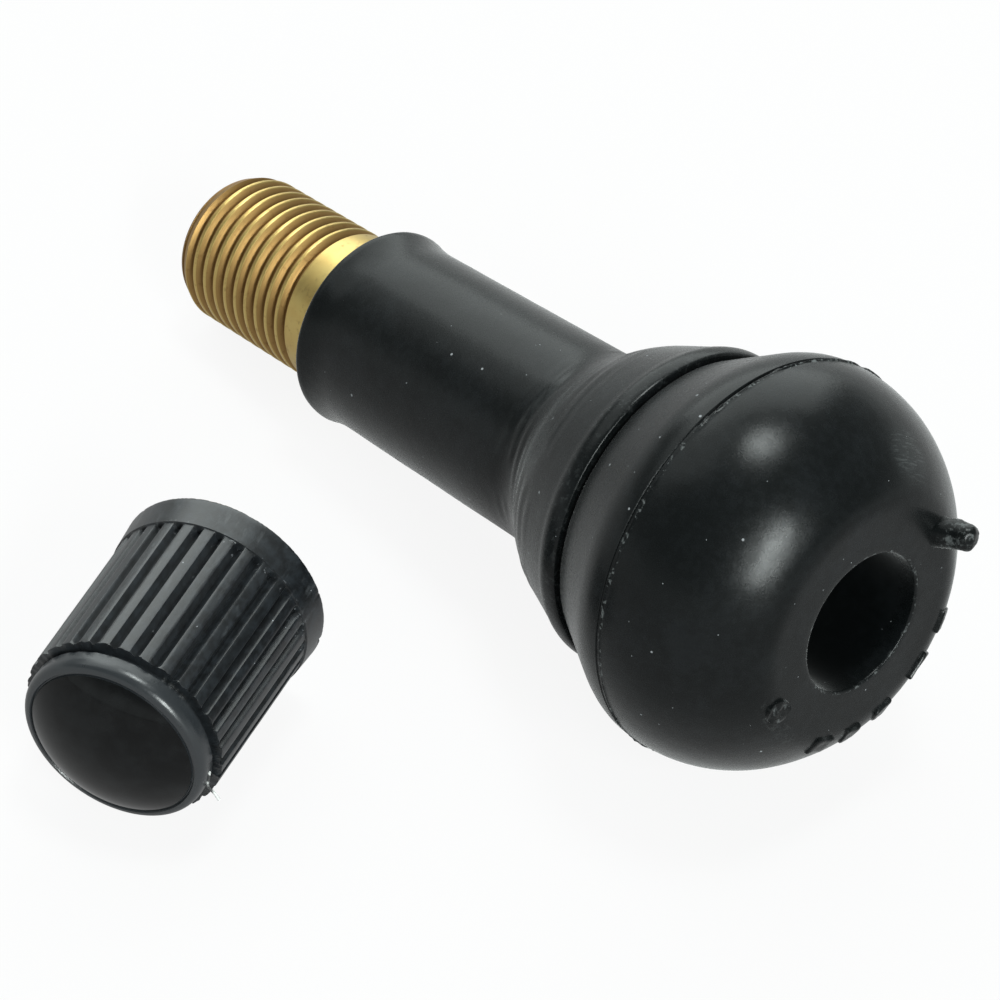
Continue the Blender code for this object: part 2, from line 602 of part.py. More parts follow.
def add_cup_seal(axis, finish):
    """The washer that closes the barrel's inner end."""
    hole = PIN_RADIUS + SEAL_GAP
    end = CUP_SEAL_DEPTH + CUP_SEAL_LENGTH
    outline = [
        (hole, CUP_SEAL_DEPTH),
        (BARREL_BODY_RADIUS, CUP_SEAL_DEPTH),
        (BARREL_BODY_RADIUS, end),
        (hole, end)]
    return add_object("cup_seal", spun_by_depth(outline, CORE_SEGMENTS), finish, axis)


def cap_outline():
    """The cap without its ribs, from the top of its dome to the end of its cavity."""
    collar_radius = CAP_RIB_START_RADIUS - CAP_RIB_DEPTH
    sphere = (CAP_DOME_RADIUS ** 2 + CAP_DOME_LENGTH ** 2) / (2 * CAP_DOME_LENGTH)
    full_angle = math.asin(CAP_DOME_RADIUS / sphere)
    points = []
    for step in range(CAP_DOME_STEPS + 1):
        angle = full_angle * step / CAP_DOME_STEPS
        points.append((sphere * math.sin(angle), sphere * (1 - math.cos(angle))))
    points.append((CAP_DOME_RADIUS, CAP_DOME_LENGTH + CAP_BEAD_NOTCH))
    bead_radius = collar_radius - CAP_BEAD_STEP
    points += bend((CAP_DOME_RADIUS + CAP_BEAD_NOTCH, CAP_DOME_LENGTH),
                   (bead_radius, CAP_DOME_LENGTH),
                   (bead_radius, CAP_DOME_LENGTH + CAP_COLLAR_LENGTH / 2), 3)
    recess_radius = bead_radius - CAP_RECESS_DEPTH
    points.append((bead_radius, CAP_COLLAR_END - 2 * CAP_RECESS_WIDTH))
    points.append((recess_radius, CAP_COLLAR_END - CAP_RECESS_WIDTH))
    points.append((recess_radius, CAP_COLLAR_END))
    points.append((collar_radius, CAP_COLLAR_END))
    points.append((CAP_RIB_END_RADIUS - CAP_RIB_DEPTH, CAP_RIM_START))
    points.append((CAP_RIB_END_RADIUS + CAP_RIM_STEP, CAP_RIM_START))
    points += bend((CAP_RIM_RADIUS, CAP_LENGTH - CAP_RIM_ROUND), (CAP_RIM_RADIUS, CAP_LENGTH),
                   (CAP_RIM_RADIUS - CAP_RIM_ROUND, CAP_LENGTH), 2)
    bore_radius = THREAD_RADIUS - CAP_THREAD_ENGAGEMENT
    cavity_end = CAP_LENGTH - CAP_CAVITY_DEPTH
    points += [
        (bore_radius + CAP_MOUTH_CHAMFER, CAP_LENGTH),
        (bore_radius, CAP_LENGTH - CAP_MOUTH_CHAMFER),
        (bore_radius, cavity_end + CAP_CAVITY_CONE_LENGTH),
        (bore_radius - CAP_CAVITY_CONE_STEP, cavity_end),
        (0.0, cavity_end)]
    return points


def cap_ribs():
    """All the grip ribs, each a half-round bar sunk a little into the cap's side."""
    bm = bmesh.new()
    ends = (
        (CAP_RIB_START_RADIUS, CAP_RIB_START),
        (CAP_RIB_END_RADIUS, CAP_RIM_START + CAP_RIM_STEP))
    half_width = math.pi * CAP_RIB_START_RADIUS / CAP_RIB_COUNT - CAP_RIB_GAP / 2
    for index in range(CAP_RIB_COUNT):
        turn = Matrix.Rotation(math.tau * index / CAP_RIB_COUNT, 4, "Z")
        edges = []
        for crest, height in ends:
            foot = crest - CAP_RIB_DEPTH
            section = [(foot - CAP_RIB_ROOT, -half_width)]
            for step in range(RIB_STEPS + 1):
                angle = math.pi * step / RIB_STEPS
                section.append((foot + CAP_RIB_DEPTH * math.sin(angle),
                                -half_width * math.cos(angle)))
            section.append((foot - CAP_RIB_ROOT, half_width))
            verts = [bm.verts.new(turn @ Vector((out, side, height))) for out, side in section]
            edges += bm.faces.new(verts).edges
        bmesh.ops.bridge_loops(bm, edges=edges)
    return bm


def add_dust_cap(axis, finish):
    """The moulded plastic cap: glossy dome, bead, ribbed side, plain rim and threaded cavity."""
    cap = add_object("dust_cap", spun(cap_outline(), CAP_SEGMENTS, solid=True), finish, axis)
    combine(cap, "grip_ribs", cap_ribs(), "UNION")
    return cap


def main():
    """Build the valve, its core and its cap."""
    for old in list(bpy.data.objects):
        bpy.data.objects.remove(old)
    rubber = add_material("black_rubber", (0.02, 0.022, 0.024), 0.55)
    plastic = add_material("black_plastic", (0.012, 0.013, 0.014), 0.22)
    brass = add_material("brass", (0.78, 0.60, 0.30), 0.28, metallic=1.0)
    steel = add_material("steel", (0.55, 0.56, 0.58), 0.35, metallic=1.0)
    seal = add_material("seal_rubber", (0.05, 0.05, 0.055), 0.6)

    ridge = (BULB_RADIUS + PARTING_RIDGE_STEP, PARTING_HEIGHT)
    thread_end = (THREAD_RADIUS, OVERALL_LENGTH - TIP_CHAMFER_LENGTH)
    valve_axis = lying_axis("valve_axis", ridge, thread_end, VALVE_END_X, VALVE_AXIS_Y, 0.0)
    mouth_axis = child_axis("mouth_axis", valve_axis, OVERALL_LENGTH)
    rib_corner = (CAP_RIB_START_RADIUS, CAP_RIB_START)
    rim = (CAP_RIM_RADIUS, CAP_LENGTH - CAP_RIM_ROUND)
    cap_axis = lying_axis("cap_axis", rib_corner, rim, CAP_DOME_X, CAP_DOME_Y, CAP_HEADING)

    add_rubber_body(valve_axis, rubber)
    add_stem(valve_axis, brass)
    add_core_plug(mouth_axis, brass)
    add_core_barrel(mouth_axis, brass)
    add_barrel_seal(mouth_axis, seal)
    add_core_pin(mouth_axis, steel)
    add_core_spring(mouth_axis, steel)
    add_cup(mouth_axis, brass)
    add_cup_seal(mouth_axis, seal)
    add_dust_cap(cap_axis, plastic)
    bpy.context.view_layer.update()


main()
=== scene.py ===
"""Looks for a snap-in tyre valve that lies on its side, with its dust cap beside it.

Every turned piece is shaped in millimetres about its own Z axis, with heights that start at the
valve's rubber end face or at the top of the cap's dome, and is then laid where the frame has it.
"""

import logging
import math
from dataclasses import dataclass
from enum import Enum
from typing import Any, Callable, Dict, List, Optional, Sequence, Tuple, Union

import bmesh
import bpy
from bmesh.types import BMesh
from mathutils import Euler, Matrix, Vector, noise

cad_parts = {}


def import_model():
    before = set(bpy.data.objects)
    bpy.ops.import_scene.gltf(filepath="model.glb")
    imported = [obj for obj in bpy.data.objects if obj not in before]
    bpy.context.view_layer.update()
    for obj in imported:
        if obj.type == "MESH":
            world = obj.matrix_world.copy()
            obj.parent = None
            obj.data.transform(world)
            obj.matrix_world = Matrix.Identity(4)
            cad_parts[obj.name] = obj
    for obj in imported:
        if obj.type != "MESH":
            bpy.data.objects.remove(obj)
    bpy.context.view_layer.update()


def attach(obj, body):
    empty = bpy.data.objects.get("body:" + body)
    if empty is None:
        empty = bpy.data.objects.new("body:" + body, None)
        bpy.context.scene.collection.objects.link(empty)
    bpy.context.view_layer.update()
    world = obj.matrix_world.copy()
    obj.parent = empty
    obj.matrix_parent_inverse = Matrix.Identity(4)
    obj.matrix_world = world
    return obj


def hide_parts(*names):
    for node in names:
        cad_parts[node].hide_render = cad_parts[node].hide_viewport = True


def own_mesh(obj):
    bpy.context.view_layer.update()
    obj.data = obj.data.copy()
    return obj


logging.basicConfig(level=logging.INFO, format="%(message)s")
LOG = logging.getLogger("valve")

Point = Tuple[float, float]
Spatial = Tuple[float, float, float]
Colour = Tuple[float, float, float]
Amount = Union[float, "Value"]
Inputs = Dict[Union[str, int], Any]

METRES = 0.001
PER_METRE = 1000.0
TINY = 1e-5
WELD = 1e-3


class Join(Enum):
    """How a second shape is worked into a first."""

    CUT = "DIFFERENCE"
    ADD = "UNION"


class Slot(Enum):
    """The record's material slots."""

    RUBBER = "rubber"
    BRASS = "brass"
    STEEL = "steel"
    PLASTIC = "plastic"


class Body(Enum):
    """The bodies that the pieces ride on."""

    VALVE = "valve"
    BARREL = "barrel"
    PLUG = "plug"
    PIN = "pin"


# ---------------------------------------------------------------- shaping


def ease(value: float, low: float, high: float) -> float:
    """Rise smoothly from 0 at low to 1 at high.

    Args:
        value: The number to judge.
        low: Where the rise starts.
        high: Where it ends.

    Returns:
        A share from 0 to 1.
    """
    share = min(max((value - low) / (high - low), 0.0), 1.0)
    return share * share * (3.0 - 2.0 * share)


def polar(place: Vector) -> Point:
    """The radius and the angle of a point about the Z axis."""
    return math.hypot(place.x, place.y), math.atan2(place.y, place.x)


def gap_between(first: float, second: float) -> float:
    """The smallest turn between two angles, in radians."""
    return abs((first - second + math.pi) % math.tau - math.pi)


def round_axis(angle: float, radius: float, height: float, lean: float = 0.0) -> Matrix:
    """Stand something off the Z axis.

    Args:
        angle: How far round the axis it stands, in degrees.
        radius: How far from the axis.
        height: How high.
        lean: How far it leans outwards, in degrees.

    Returns:
        The matrix that takes it there.
    """
    return (Matrix.Rotation(math.radians(angle), 4, "Z")
            @ Matrix.Translation((radius, 0.0, height))
            @ Matrix.Rotation(math.radians(lean), 4, "Y"))


class Outline:
    """The outline that a turned piece is spun from, in (radius, height) points."""

    def __init__(self, radius: float, height: float) -> None:
        """Start the outline at one point."""
        self.points: List[Point] = [(radius, height)]

    def line(self, radius: float, height: float, steps: int = 1) -> "Outline":
        """Go straight to a point.

        Args:
            radius: The point's radius.
            height: The point's height.
            steps: How many parts the line is cut into.

        Returns:
            The outline, to go on from.
        """
        start = self.points[-1]
        for step in range(1, steps + 1):
            share = step / steps
            self.points.append((start[0] + (radius - start[0]) * share,
                                start[1] + (height - start[1]) * share))
        return self

    def path(self, *points: Point) -> "Outline":
        """Go straight from point to point."""
        for point in points:
            self.line(*point)
        return self

    def bend(self, corner: Point, end: Point, steps: int) -> "Outline":
        """Curve to a point, pulled towards a corner.

        Args:
            corner: The point that pulls the curve.
            end: Where the curve ends.
            steps: How many parts it is cut into.

        Returns:
            The outline, to go on from.
        """
        start = self.points[-1]
        for step in range(1, steps + 1):
            t = step / steps
            self.points.append(tuple(
                (1 - t) ** 2 * a + 2 * t * (1 - t) * b + t ** 2 * c
                for a, b, c in zip(start, corner, end)))
        return self

    def follow(self, curve: Callable[[float], Point], steps: int) -> "Outline":
        """Follow a curve that is given from 0 to 1.

        Args:
            curve: Gives the point at each share of the way.
            steps: How many parts it is cut into.

        Returns:
            The outline, to go on from.
        """
        self.points += [curve(step / steps) for step in range(1, steps + 1)]
        return self

    def spin(self, steps: int, solid: bool = False) -> BMesh:
        """Spin the outline once round the Z axis.

        Args:
            steps: How many steps the turn has.
            solid: Whether the outline starts and ends on the axis. If not, it is a ring's and
                closes on itself.

        Returns:
            The closed shape.
        """
        bm = bmesh.new()
        verts = [bm.verts.new((radius, 0.0, height)) for radius, height in self.points]
        edges = [bm.edges.new(pair) for pair in zip(verts, verts[1:])]
        if not solid:
            edges.append(bm.edges.new((verts[-1], verts[0])))
        bmesh.ops.spin(bm, geom=verts + edges, cent=(0, 0, 0), axis=(0, 0, 1), angle=math.tau,
                       steps=steps, use_merge=True, use_duplicate=False)
        bmesh.ops.remove_doubles(bm, verts=bm.verts, dist=WELD)
        bmesh.ops.recalc_face_normals(bm, faces=bm.faces)
        return bm


@dataclass
class Helix:
    """A screw-shaped cutter that follows a thread's groove, right-handed towards +Z."""

    profile: Sequence[Point]
    pitch: float
    start: float
    turns: float
    steps_per_turn: int = 72
    fade: float = 0.0
    fade_step: float = 0.0

    def shape(self) -> BMesh:
        """Sweep the groove's section along the screw.

        Returns:
            The closed cutter. Over its first turns it draws away from the axis, as a thread
            runs out.
        """
        bm = bmesh.new()
        verts = [bm.verts.new((radius, 0.0, self.start + height))
                 for radius, height in self.profile]
        edges = [bm.edges.new(pair) for pair in zip(verts, verts[1:] + verts[:1])]
        bmesh.ops.spin(bm, geom=verts + edges, cent=(0, 0, 0), axis=(0, 0, 1),
                       dvec=(0, 0, self.pitch / self.steps_per_turn), angle=math.tau * self.turns,
                       steps=round(self.turns * self.steps_per_turn), use_merge=False,
                       use_duplicate=False)
        if self.fade:
            self._run_out(bm)
        bmesh.ops.holes_fill(bm, edges=[edge for edge in bm.edges if edge.is_boundary], sides=0)
        bmesh.ops.recalc_face_normals(bm, faces=bm.faces)
        return bm

    def _run_out(self, bm: BMesh) -> None:
        """Draw the first turns away from the axis, a little less at every step."""
        for vert in bm.verts:
            radius, angle = polar(vert.co)
            part = (angle / math.tau) % 1.0
            turn = round((vert.co.z - self.start) / self.pitch - part) + part
            out = self.fade_step * (1.0 - ease(turn, 0.0, self.fade))
            vert.co.xy *= (radius + out) / radius


def as_mesh(name: str, bm: BMesh) -> bpy.types.Mesh:
    """Turn a bmesh into a mesh. The bmesh is used up."""
    mesh = bpy.data.meshes.new(name)
    bm.to_mesh(mesh)
    bm.free()
    return mesh


def linked(name: str, data: bpy.types.ID) -> bpy.types.Object:
    """Put a mesh, a lamp or a camera in the scene as an object."""
    made = bpy.data.objects.new(name, data)
    bpy.context.scene.collection.objects.link(made)
    return made


def joined(body: BMesh, tool: BMesh, how: Join) -> BMesh:
    """Cut a shape from another, or join it on.

    Args:
        body: The shape that is worked on. It is used up.
        tool: The second shape. It is used up.
        how: Whether the tool cuts or is added.

    Returns:
        The new closed shape.
    """
    work = linked("work", as_mesh("work", body))
    knife = linked("knife", as_mesh("knife", tool))
    modifier = work.modifiers.new("join", "BOOLEAN")
    modifier.operation = how.value
    modifier.solver = "MANIFOLD"
    modifier.object = knife
    graph = bpy.context.evaluated_depsgraph_get()
    graph.update()
    result = bmesh.new()
    result.from_object(work, graph)
    for spare in (work, knife):
        mesh = spare.data
        bpy.data.objects.remove(spare)
        bpy.data.meshes.remove(mesh)
    bmesh.ops.remove_doubles(result, verts=result.verts, dist=TINY)
    bmesh.ops.recalc_face_normals(result, faces=result.faces)
    return result


def merged(shapes: Sequence[BMesh]) -> BMesh:
    """Put several separate shapes into one bmesh. They are used up."""
    result = bmesh.new()
    for shape in shapes:
        mesh = as_mesh("part", shape)
        result.from_mesh(mesh)
        bpy.data.meshes.remove(mesh)
    return result


@dataclass(frozen=True)
class Lying:
    """How a turned piece lies on the floor, on two of its circles, in millimetres."""

    x: float
    y: float
    low: Point
    high: Point
    heading: float = 0.0

    @property
    def place(self) -> Matrix:
        """The matrix from the piece's own axis to the floor, both in millimetres."""
        tilt = math.atan2(self.low[0] - self.high[0], self.high[1] - self.low[1])
        lift = self.low[0] * math.cos(tilt) + self.low[1] * math.sin(tilt)
        turn = Euler((0.0, -(math.pi / 2 + tilt), math.radians(self.heading)), "XYZ")
        return Matrix.Translation((self.x, self.y, lift)) @ turn.to_matrix().to_4x4()

    @property
    def placed(self) -> Matrix:
        """The matrix from the piece's own millimetres to the frame's metres."""
        return Matrix.Scale(METRES, 4) @ self.place


# ---------------------------------------------------------------- materials


@dataclass(frozen=True)
class Pattern:
    """How a cloudy pattern looks. The scale counts its features per unit of the place."""

    scale: float
    detail: float
    roughness: float


class Value:
    """A node socket that Python's own operators work on."""

    def __init__(self, nodes: "Nodes", socket: bpy.types.NodeSocket) -> None:
        """Wrap an output socket."""
        self.nodes = nodes
        self.socket = socket

    def _math(self, operation: str, *terms: Amount) -> "Value":
        """Add one Math node."""
        return self.nodes.add("ShaderNodeMath", {"operation": operation},
                              dict(enumerate(terms)))["Value"]

    def __add__(self, other: Amount) -> "Value":
        """Sum of two values."""
        return self._math("ADD", self, other)

    __radd__ = __add__

    def __sub__(self, other: Amount) -> "Value":
        """Difference of two values."""
        return self._math("SUBTRACT", self, other)

    def __rsub__(self, other: Amount) -> "Value":
        """Difference, with this value on the right."""
        return self._math("SUBTRACT", other, self)

    def __mul__(self, other: Amount) -> "Value":
        """Product of two values."""
        return self._math("MULTIPLY", self, other)

    __rmul__ = __mul__

    def __abs__(self) -> "Value":
        """This value without its sign."""
        return self._math("ABSOLUTE", self)

    def rise(self, low: float, high: float) -> "Value":
        """A share that rises smoothly from 0 at low to 1 at high."""
        return self.nodes.add("ShaderNodeMapRange", {"interpolation_type": "SMOOTHSTEP"}, {
            "Value": self, "From Min": low, "From Max": high})["Result"]

    def fall(self, low: float, high: float) -> "Value":
        """A share that falls smoothly from 1 at low to 0 at high."""
        return 1.0 - self.rise(low, high)

    def between(self, low: float, high: float, soft: float) -> "Value":
        """A share that is 1 from low to high and 0 a soft edge away from them."""
        return self.rise(low - soft, low) * self.fall(high, high + soft)


class Made:
    """A node that was added, whose outputs are taken by name."""

    def __init__(self, nodes: "Nodes", node: bpy.types.Node) -> None:
        """Wrap a node."""
        self.nodes = nodes
        self.node = node

    def __getitem__(self, name: str) -> Value:
        """The output of that name that is in use."""
        for socket in self.node.outputs:
            if socket.enabled and name in (socket.name, socket.identifier):
                return Value(self.nodes, socket)
        raise KeyError(name)


class Nodes:
    """The node tree of one material or world."""

    def __init__(self, tree: bpy.types.NodeTree) -> None:
        """Take a tree over and empty it."""
        self.tree = tree
        tree.nodes.clear()

    def add(self, kind: str, settings: Optional[Dict[str, Any]] = None,
            inputs: Optional[Inputs] = None) -> Made:
        """Add one node of any kind.

        Args:
            kind: The node's type.
            settings: Its own settings, which are set first.
            inputs: The values or links of its sockets, by name or number.

        Returns:
            The node, whose outputs are taken by name.
        """
        node = self.tree.nodes.new(kind)
        for name, setting in (settings or {}).items():
            setattr(node, name, setting)
        for key, value in (inputs or {}).items():
            socket = node.inputs[key] if isinstance(key, int) else self._input(node, key)
            if isinstance(value, Value):
                self.tree.links.new(value.socket, socket)
            elif isinstance(value, tuple) and len(value) == 3 and socket.type == "RGBA":
                socket.default_value = (*value, 1.0)
            else:
                socket.default_value = value
        return Made(self, node)

    @staticmethod
    def _input(node: bpy.types.Node, name: str) -> bpy.types.NodeSocket:
        """The input of that name that is in use."""
        for socket in node.inputs:
            if socket.enabled and name in (socket.name, socket.identifier):
                return socket
        raise KeyError(f"{node.bl_idname} has no input {name}")

    def mix(self, share: Amount, first: Any, second: Any) -> Value:
        """Mix two colours by a share of the second."""
        return self.add("ShaderNodeMix", {"data_type": "RGBA"}, {
            "Factor": share, "A": first, "B": second})["Result"]

    def vector(self, operation: str, **inputs: Any) -> Made:
        """Add one Vector Math node. Its inputs are a and b."""
        sockets = {"a": 0, "b": 1}
        return self.add("ShaderNodeVectorMath", {"operation": operation}, {
            sockets[name]: value for name, value in inputs.items()})

    def noise(self, place: Value, pattern: Pattern) -> Value:
        """A cloudy pattern from 0 to 1."""
        return self.add("ShaderNodeTexNoise", {"noise_dimensions": "3D"}, {
            "Vector": place, "Scale": pattern.scale, "Detail": pattern.detail,
            "Roughness": pattern.roughness})["Fac"]

    def specks(self, place: Value, scale: float, size: float, share: float) -> Value:
        """Small round spots.

        Args:
            place: Where the pattern is read.
            scale: Cells per unit of the place.
            size: A spot's radius, as a share of a cell.
            share: The share of the cells that have a spot.

        Returns:
            1 in a spot and 0 outside.
        """
        cells = self.add("ShaderNodeTexVoronoi", {"feature": "F1"}, {
            "Vector": place, "Scale": scale, "Randomness": 1.0})
        dice = self.add("ShaderNodeSeparateColor", {}, {"Color": cells["Color"]})["Red"]
        return cells["Distance"].fall(size * 0.6, size) * dice.fall(share, share + 0.01)

    def bump(self, height: Value, distance: float, below: Optional[Value] = None) -> Value:
        """A normal from a height pattern. The distance is the height of 1, in metres."""
        inputs: Inputs = {"Height": height, "Distance": distance, "Strength": 1.0}
        if below is not None:
            inputs["Normal"] = below
        return self.add("ShaderNodeBump", {}, inputs)["Normal"]


class Spot:
    """The places that a pattern on one lying piece is read at, in its own millimetres."""

    def __init__(self, nodes: Nodes, lying: Lying) -> None:
        """Lay a Mapping node from the frame's metres to the piece's own axis."""
        back = lying.place.inverted()
        world = nodes.add("ShaderNodeTexCoord")["Object"]
        self.nodes = nodes
        self.place = nodes.add("ShaderNodeMapping", {"vector_type": "POINT"}, {
            "Vector": world, "Location": back.translation, "Rotation": back.to_euler("XYZ"),
            "Scale": (PER_METRE,) * 3})["Vector"]
        parts = nodes.add("ShaderNodeSeparateXYZ", {}, {0: self.place})
        self.across, self.height = parts["X"], parts["Z"]
        flat = nodes.vector("MULTIPLY", a=self.place, b=(1.0, 1.0, 0.0))["Vector"]
        self.radius = nodes.vector("LENGTH", a=flat)["Value"]

    def away(self, place: Spatial) -> Value:
        """How far a spot is from a place on the piece."""
        return self.nodes.vector("DISTANCE", a=self.place, b=place)["Value"]

    def turned(self, around: float, along: float) -> Value:
        """A place for marks that a lathe or a mould leaves.

        Args:
            around: How fast the pattern changes round the axis.
            along: How fast it changes along the axis and outwards.

        Returns:
            The vector to read a pattern at.
        """
        scaled = self.nodes.vector("MULTIPLY", a=self.place, b=(around, around, along))["Vector"]
        rings = self.nodes.add("ShaderNodeCombineXYZ", {}, {"Z": self.radius * along})["Vector"]
        return self.nodes.vector("ADD", a=scaled, b=rings)["Vector"]


class Finish:
    """What every finish shares: a Principled material laid on a piece's own axis."""

    def build(self, name: str, lying: Lying) -> bpy.types.Material:
        """Make the material.

        Args:
            name: The material's name.
            lying: How the piece lies, so that patterns follow its axis.

        Returns:
            The material.
        """
        material = bpy.data.materials.new(name)
        material.use_nodes = True
        nodes = Nodes(material.node_tree)
        inputs = self.looks(nodes, Spot(nodes, lying))
        surface = nodes.add("ShaderNodeBsdfPrincipled", {}, inputs)["BSDF"]
        nodes.add("ShaderNodeOutputMaterial", {}, {"Surface": surface})
        return material

    def looks(self, nodes: Nodes, spot: Spot) -> Inputs:
        """The shader's own inputs, by name."""
        raise NotImplementedError


@dataclass(frozen=True)
class MouldedRubber(Finish):
    """Black moulded rubber with a satin skin, a few dust specks, rough cut places, painted
    highlights and painted shade down the air hole.
    """

    dark: Colour = (0.0032, 0.0041, 0.0043)
    grey: Colour = (0.0062, 0.0075, 0.0082)
    painted_hole_shade: Colour = (0.002, 0.002, 0.002)
    dust: Colour = (0.42, 0.44, 0.46)
    torn_and_highlight: Colour = (0.13, 0.14, 0.14)
    roughness: float = 0.27
    specular: float = 0.20
    sheen: float = 0.28
    sheen_roughness: float = 0.3
    pebble: float = 0.000004
    grain: float = 0.000003
    cloud: Pattern = Pattern(0.35, 3.0, 0.55)
    mottle: Pattern = Pattern(2.4, 4.0, 0.6)
    fine: Pattern = Pattern(11.0, 3.0, 0.6)
    tears: Pattern = Pattern(3.4, 3.0, 0.7)
    crumbs: Pattern = Pattern(3.2, 3.0, 0.7)
    drag: Pattern = Pattern(1.0, 3.0, 0.7)
    painted_fold_highlights: Pattern = Pattern(1.0, 4.0, 0.7)
    lint: Sequence[Spatial] = ((1.05, 0.085, 0.16), (2.3, 0.075, 0.12))
    hole_radius: float = 3.25
    hole_shade: Point = (0.4, 2.6)
    lip_radius: float = 3.29
    flare: Point = (13.2, 17.0)
    raised_ring: Point = (5.30, 6.35)
    stub_place: Spatial = (-2.05, -4.83, 0.0)
    scratched: Spatial = (6.1, 3.7, 1.3)
    parting_height: float = 6.06
    shoulder: Point = (10.8, 11.9)
    shoulder_edge: Point = (7.1, 7.3)

    def _torn_and_highlit_places(self, nodes: Nodes, spot: Spot, cloud: Value) -> Value:
        """How torn the rubber is on the flash, the bars and the pips, with a painted highlight
        along the hole's lip and scuffs on the shoulder's edge that are partly a painted
        highlight.
        """
        tears = nodes.noise(spot.place, self.tears).rise(0.50, 0.64)
        crumbs = nodes.noise(spot.place, self.crumbs).rise(0.46, 0.66)
        flash = abs(spot.height - self.parting_height).fall(0.06, 0.16)
        # painted highlight: a ragged light line along the air hole's lip
        lip = abs(spot.radius - self.lip_radius).fall(0.03, 0.10) * spot.height.fall(0.1, 0.2)
        # the shoulder's edge: partly scuffed wear, partly a painted highlight where the edge
        # catches light
        scuffs_and_edge_highlight = (spot.height.between(*self.shoulder, 0.1)
                  * spot.radius.rise(*self.shoulder_edge))
        bars = (spot.radius.between(*self.raised_ring, 0.1) * spot.height.fall(0.2, 0.4)
                * spot.across.fall(-1.6, -0.6))
        stub = spot.away(self.stub_place).fall(0.5, 0.75) * spot.height.fall(-0.07, -0.01)
        pip = spot.height.fall(-0.5, -0.2)
        return (tears * (flash + lip * 0.7 + scuffs_and_edge_highlight * cloud * 0.4)
                + crumbs * (bars * 0.22 + stub * 0.5 + pip * 0.7)).rise(0.0, 1.0)

    def _marked(self, nodes: Nodes, spot: Spot, colour: Value) -> Value:
        """The colour with the rubbed patch on the dome and light streaks painted in the flare as
        highlights on its folds.
        """
        rubbed = spot.away(self.scratched).fall(0.5, 1.6)
        lines = nodes.noise(spot.turned(1.2, 9.0), self.drag).rise(0.52, 0.62)
        colour = nodes.mix(rubbed * (lines * 0.22 + 0.06), colour, self.torn_and_highlight)
        # painted highlight: light streaks in the flare, where its folds catch light
        painted_fold_highlights = nodes.noise(spot.turned(0.30, 1.3), self.painted_fold_highlights).rise(0.50, 0.68)
        painted_fold_highlights = painted_fold_highlights * spot.height.between(*self.flare, 1.5)
        return nodes.mix(painted_fold_highlights * 0.12, colour, self.torn_and_highlight)

    def looks(self, nodes: Nodes, spot: Spot) -> Inputs:
        """Cloudy blacks, a fine skin, specks, torn flash, painted highlights and a dull air hole
        with painted shade down it.
        """
        cloud = nodes.noise(spot.place, self.cloud)
        mottle = nodes.noise(spot.place, self.mottle)
        fine = nodes.noise(spot.place, self.fine)
        bloom = (cloud * 0.6 + mottle * 0.4).rise(0.42, 0.66)
        flecks_and_highlights = self._torn_and_highlit_places(nodes, spot, cloud)
        # torn places in a light grey, which also paints the highlights on the hole's lip, the
        # shoulder's edge and the flare
        colour = nodes.mix(flecks_and_highlights * 0.8, nodes.mix(bloom, self.dark, self.grey), self.torn_and_highlight)
        colour = self._marked(nodes, spot, colour)
        coarse, small = (nodes.specks(spot.place, *sizes) for sizes in self.lint)
        lint = (coarse + small).rise(0.0, 1.0)
        colour = nodes.mix(lint * (0.2 + cloud * 0.8), colour, self.dust)
        # painted shade: the air hole's wall darkens with depth, as shade falls down the hole
        hole_shade_share = (spot.radius.fall(self.hole_radius - 0.1, self.hole_radius)
                  * spot.height.rise(*self.hole_shade))
        rough = self.roughness + (mottle - 0.5) * 0.08 + (fine - 0.5) * 0.05
        skin = nodes.bump(mottle, self.pebble)
        return {
            "Base Color": nodes.mix(hole_shade_share * 0.8, colour, self.painted_hole_shade),
            "Roughness": rough + hole_shade_share * 0.4 + (lint + flecks_and_highlights).rise(0.0, 1.0) * 0.25,
            "Specular IOR Level": self.specular,
            "Sheen Weight": self.sheen,
            "Sheen Roughness": self.sheen_roughness,
            "Normal": nodes.bump(fine, self.grain, below=skin)}


@dataclass(frozen=True)
class TurnedBrass(Finish):
    """Bright turned brass with fine lathe marks, painted shade on the thread's flanks, and
    tarnish with some painted shade down in its roots.
    """

    bright: Colour = (0.60, 0.450, 0.165)
    warm: Colour = (0.54, 0.365, 0.120)
    painted_flank_shade: Colour = (0.330, 0.195, 0.070)
    tarnish: Colour = (0.170, 0.085, 0.030)
    roughness: float = 0.34
    marks: float = 0.000005
    rings: Pattern = Pattern(1.0, 2.0, 0.7)
    cloud: Pattern = Pattern(0.9, 4.0, 0.6)
    stains: Pattern = Pattern(2.6, 4.0, 0.65)
    root_radius: float = 3.50
    flank_radius: float = 3.74
    crest_radius: float = 3.785

    def looks(self, nodes: Nodes, spot: Spot) -> Inputs:
        """Rings from the lathe, uneven colour, painted shade on the flanks and dull thread roots
        that are partly painted shade.
        """
        rings = nodes.noise(spot.turned(0.12, 16.0), self.rings)
        cloud = nodes.noise(spot.place, self.cloud)
        side = spot.radius.fall(self.flank_radius, self.crest_radius)
        root = spot.radius.fall(self.root_radius, self.flank_radius)
        colour = nodes.mix(cloud.rise(0.35, 0.7) * 0.55, self.bright, self.warm)
        # painted shade: the thread's flanks are darkened, so that only the crests look bright
        colour = nodes.mix(side * 0.9, colour, self.painted_flank_shade)
        # the roots take the tarnish colour: partly tarnish, partly painted shade of the thread's
        # own shadow
        colour = nodes.mix(root * 0.5, colour, self.tarnish)
        stains = nodes.noise(spot.place, self.stains).rise(0.54, 0.74)
        return {
            "Base Color": nodes.mix(stains * 0.4, colour, self.tarnish),
            "Metallic": 1.0,
            "Roughness": self.roughness + (rings - 0.5) * 0.12 + side * 0.14 + stains * 0.10,
            "Normal": nodes.bump(rings, self.marks)}


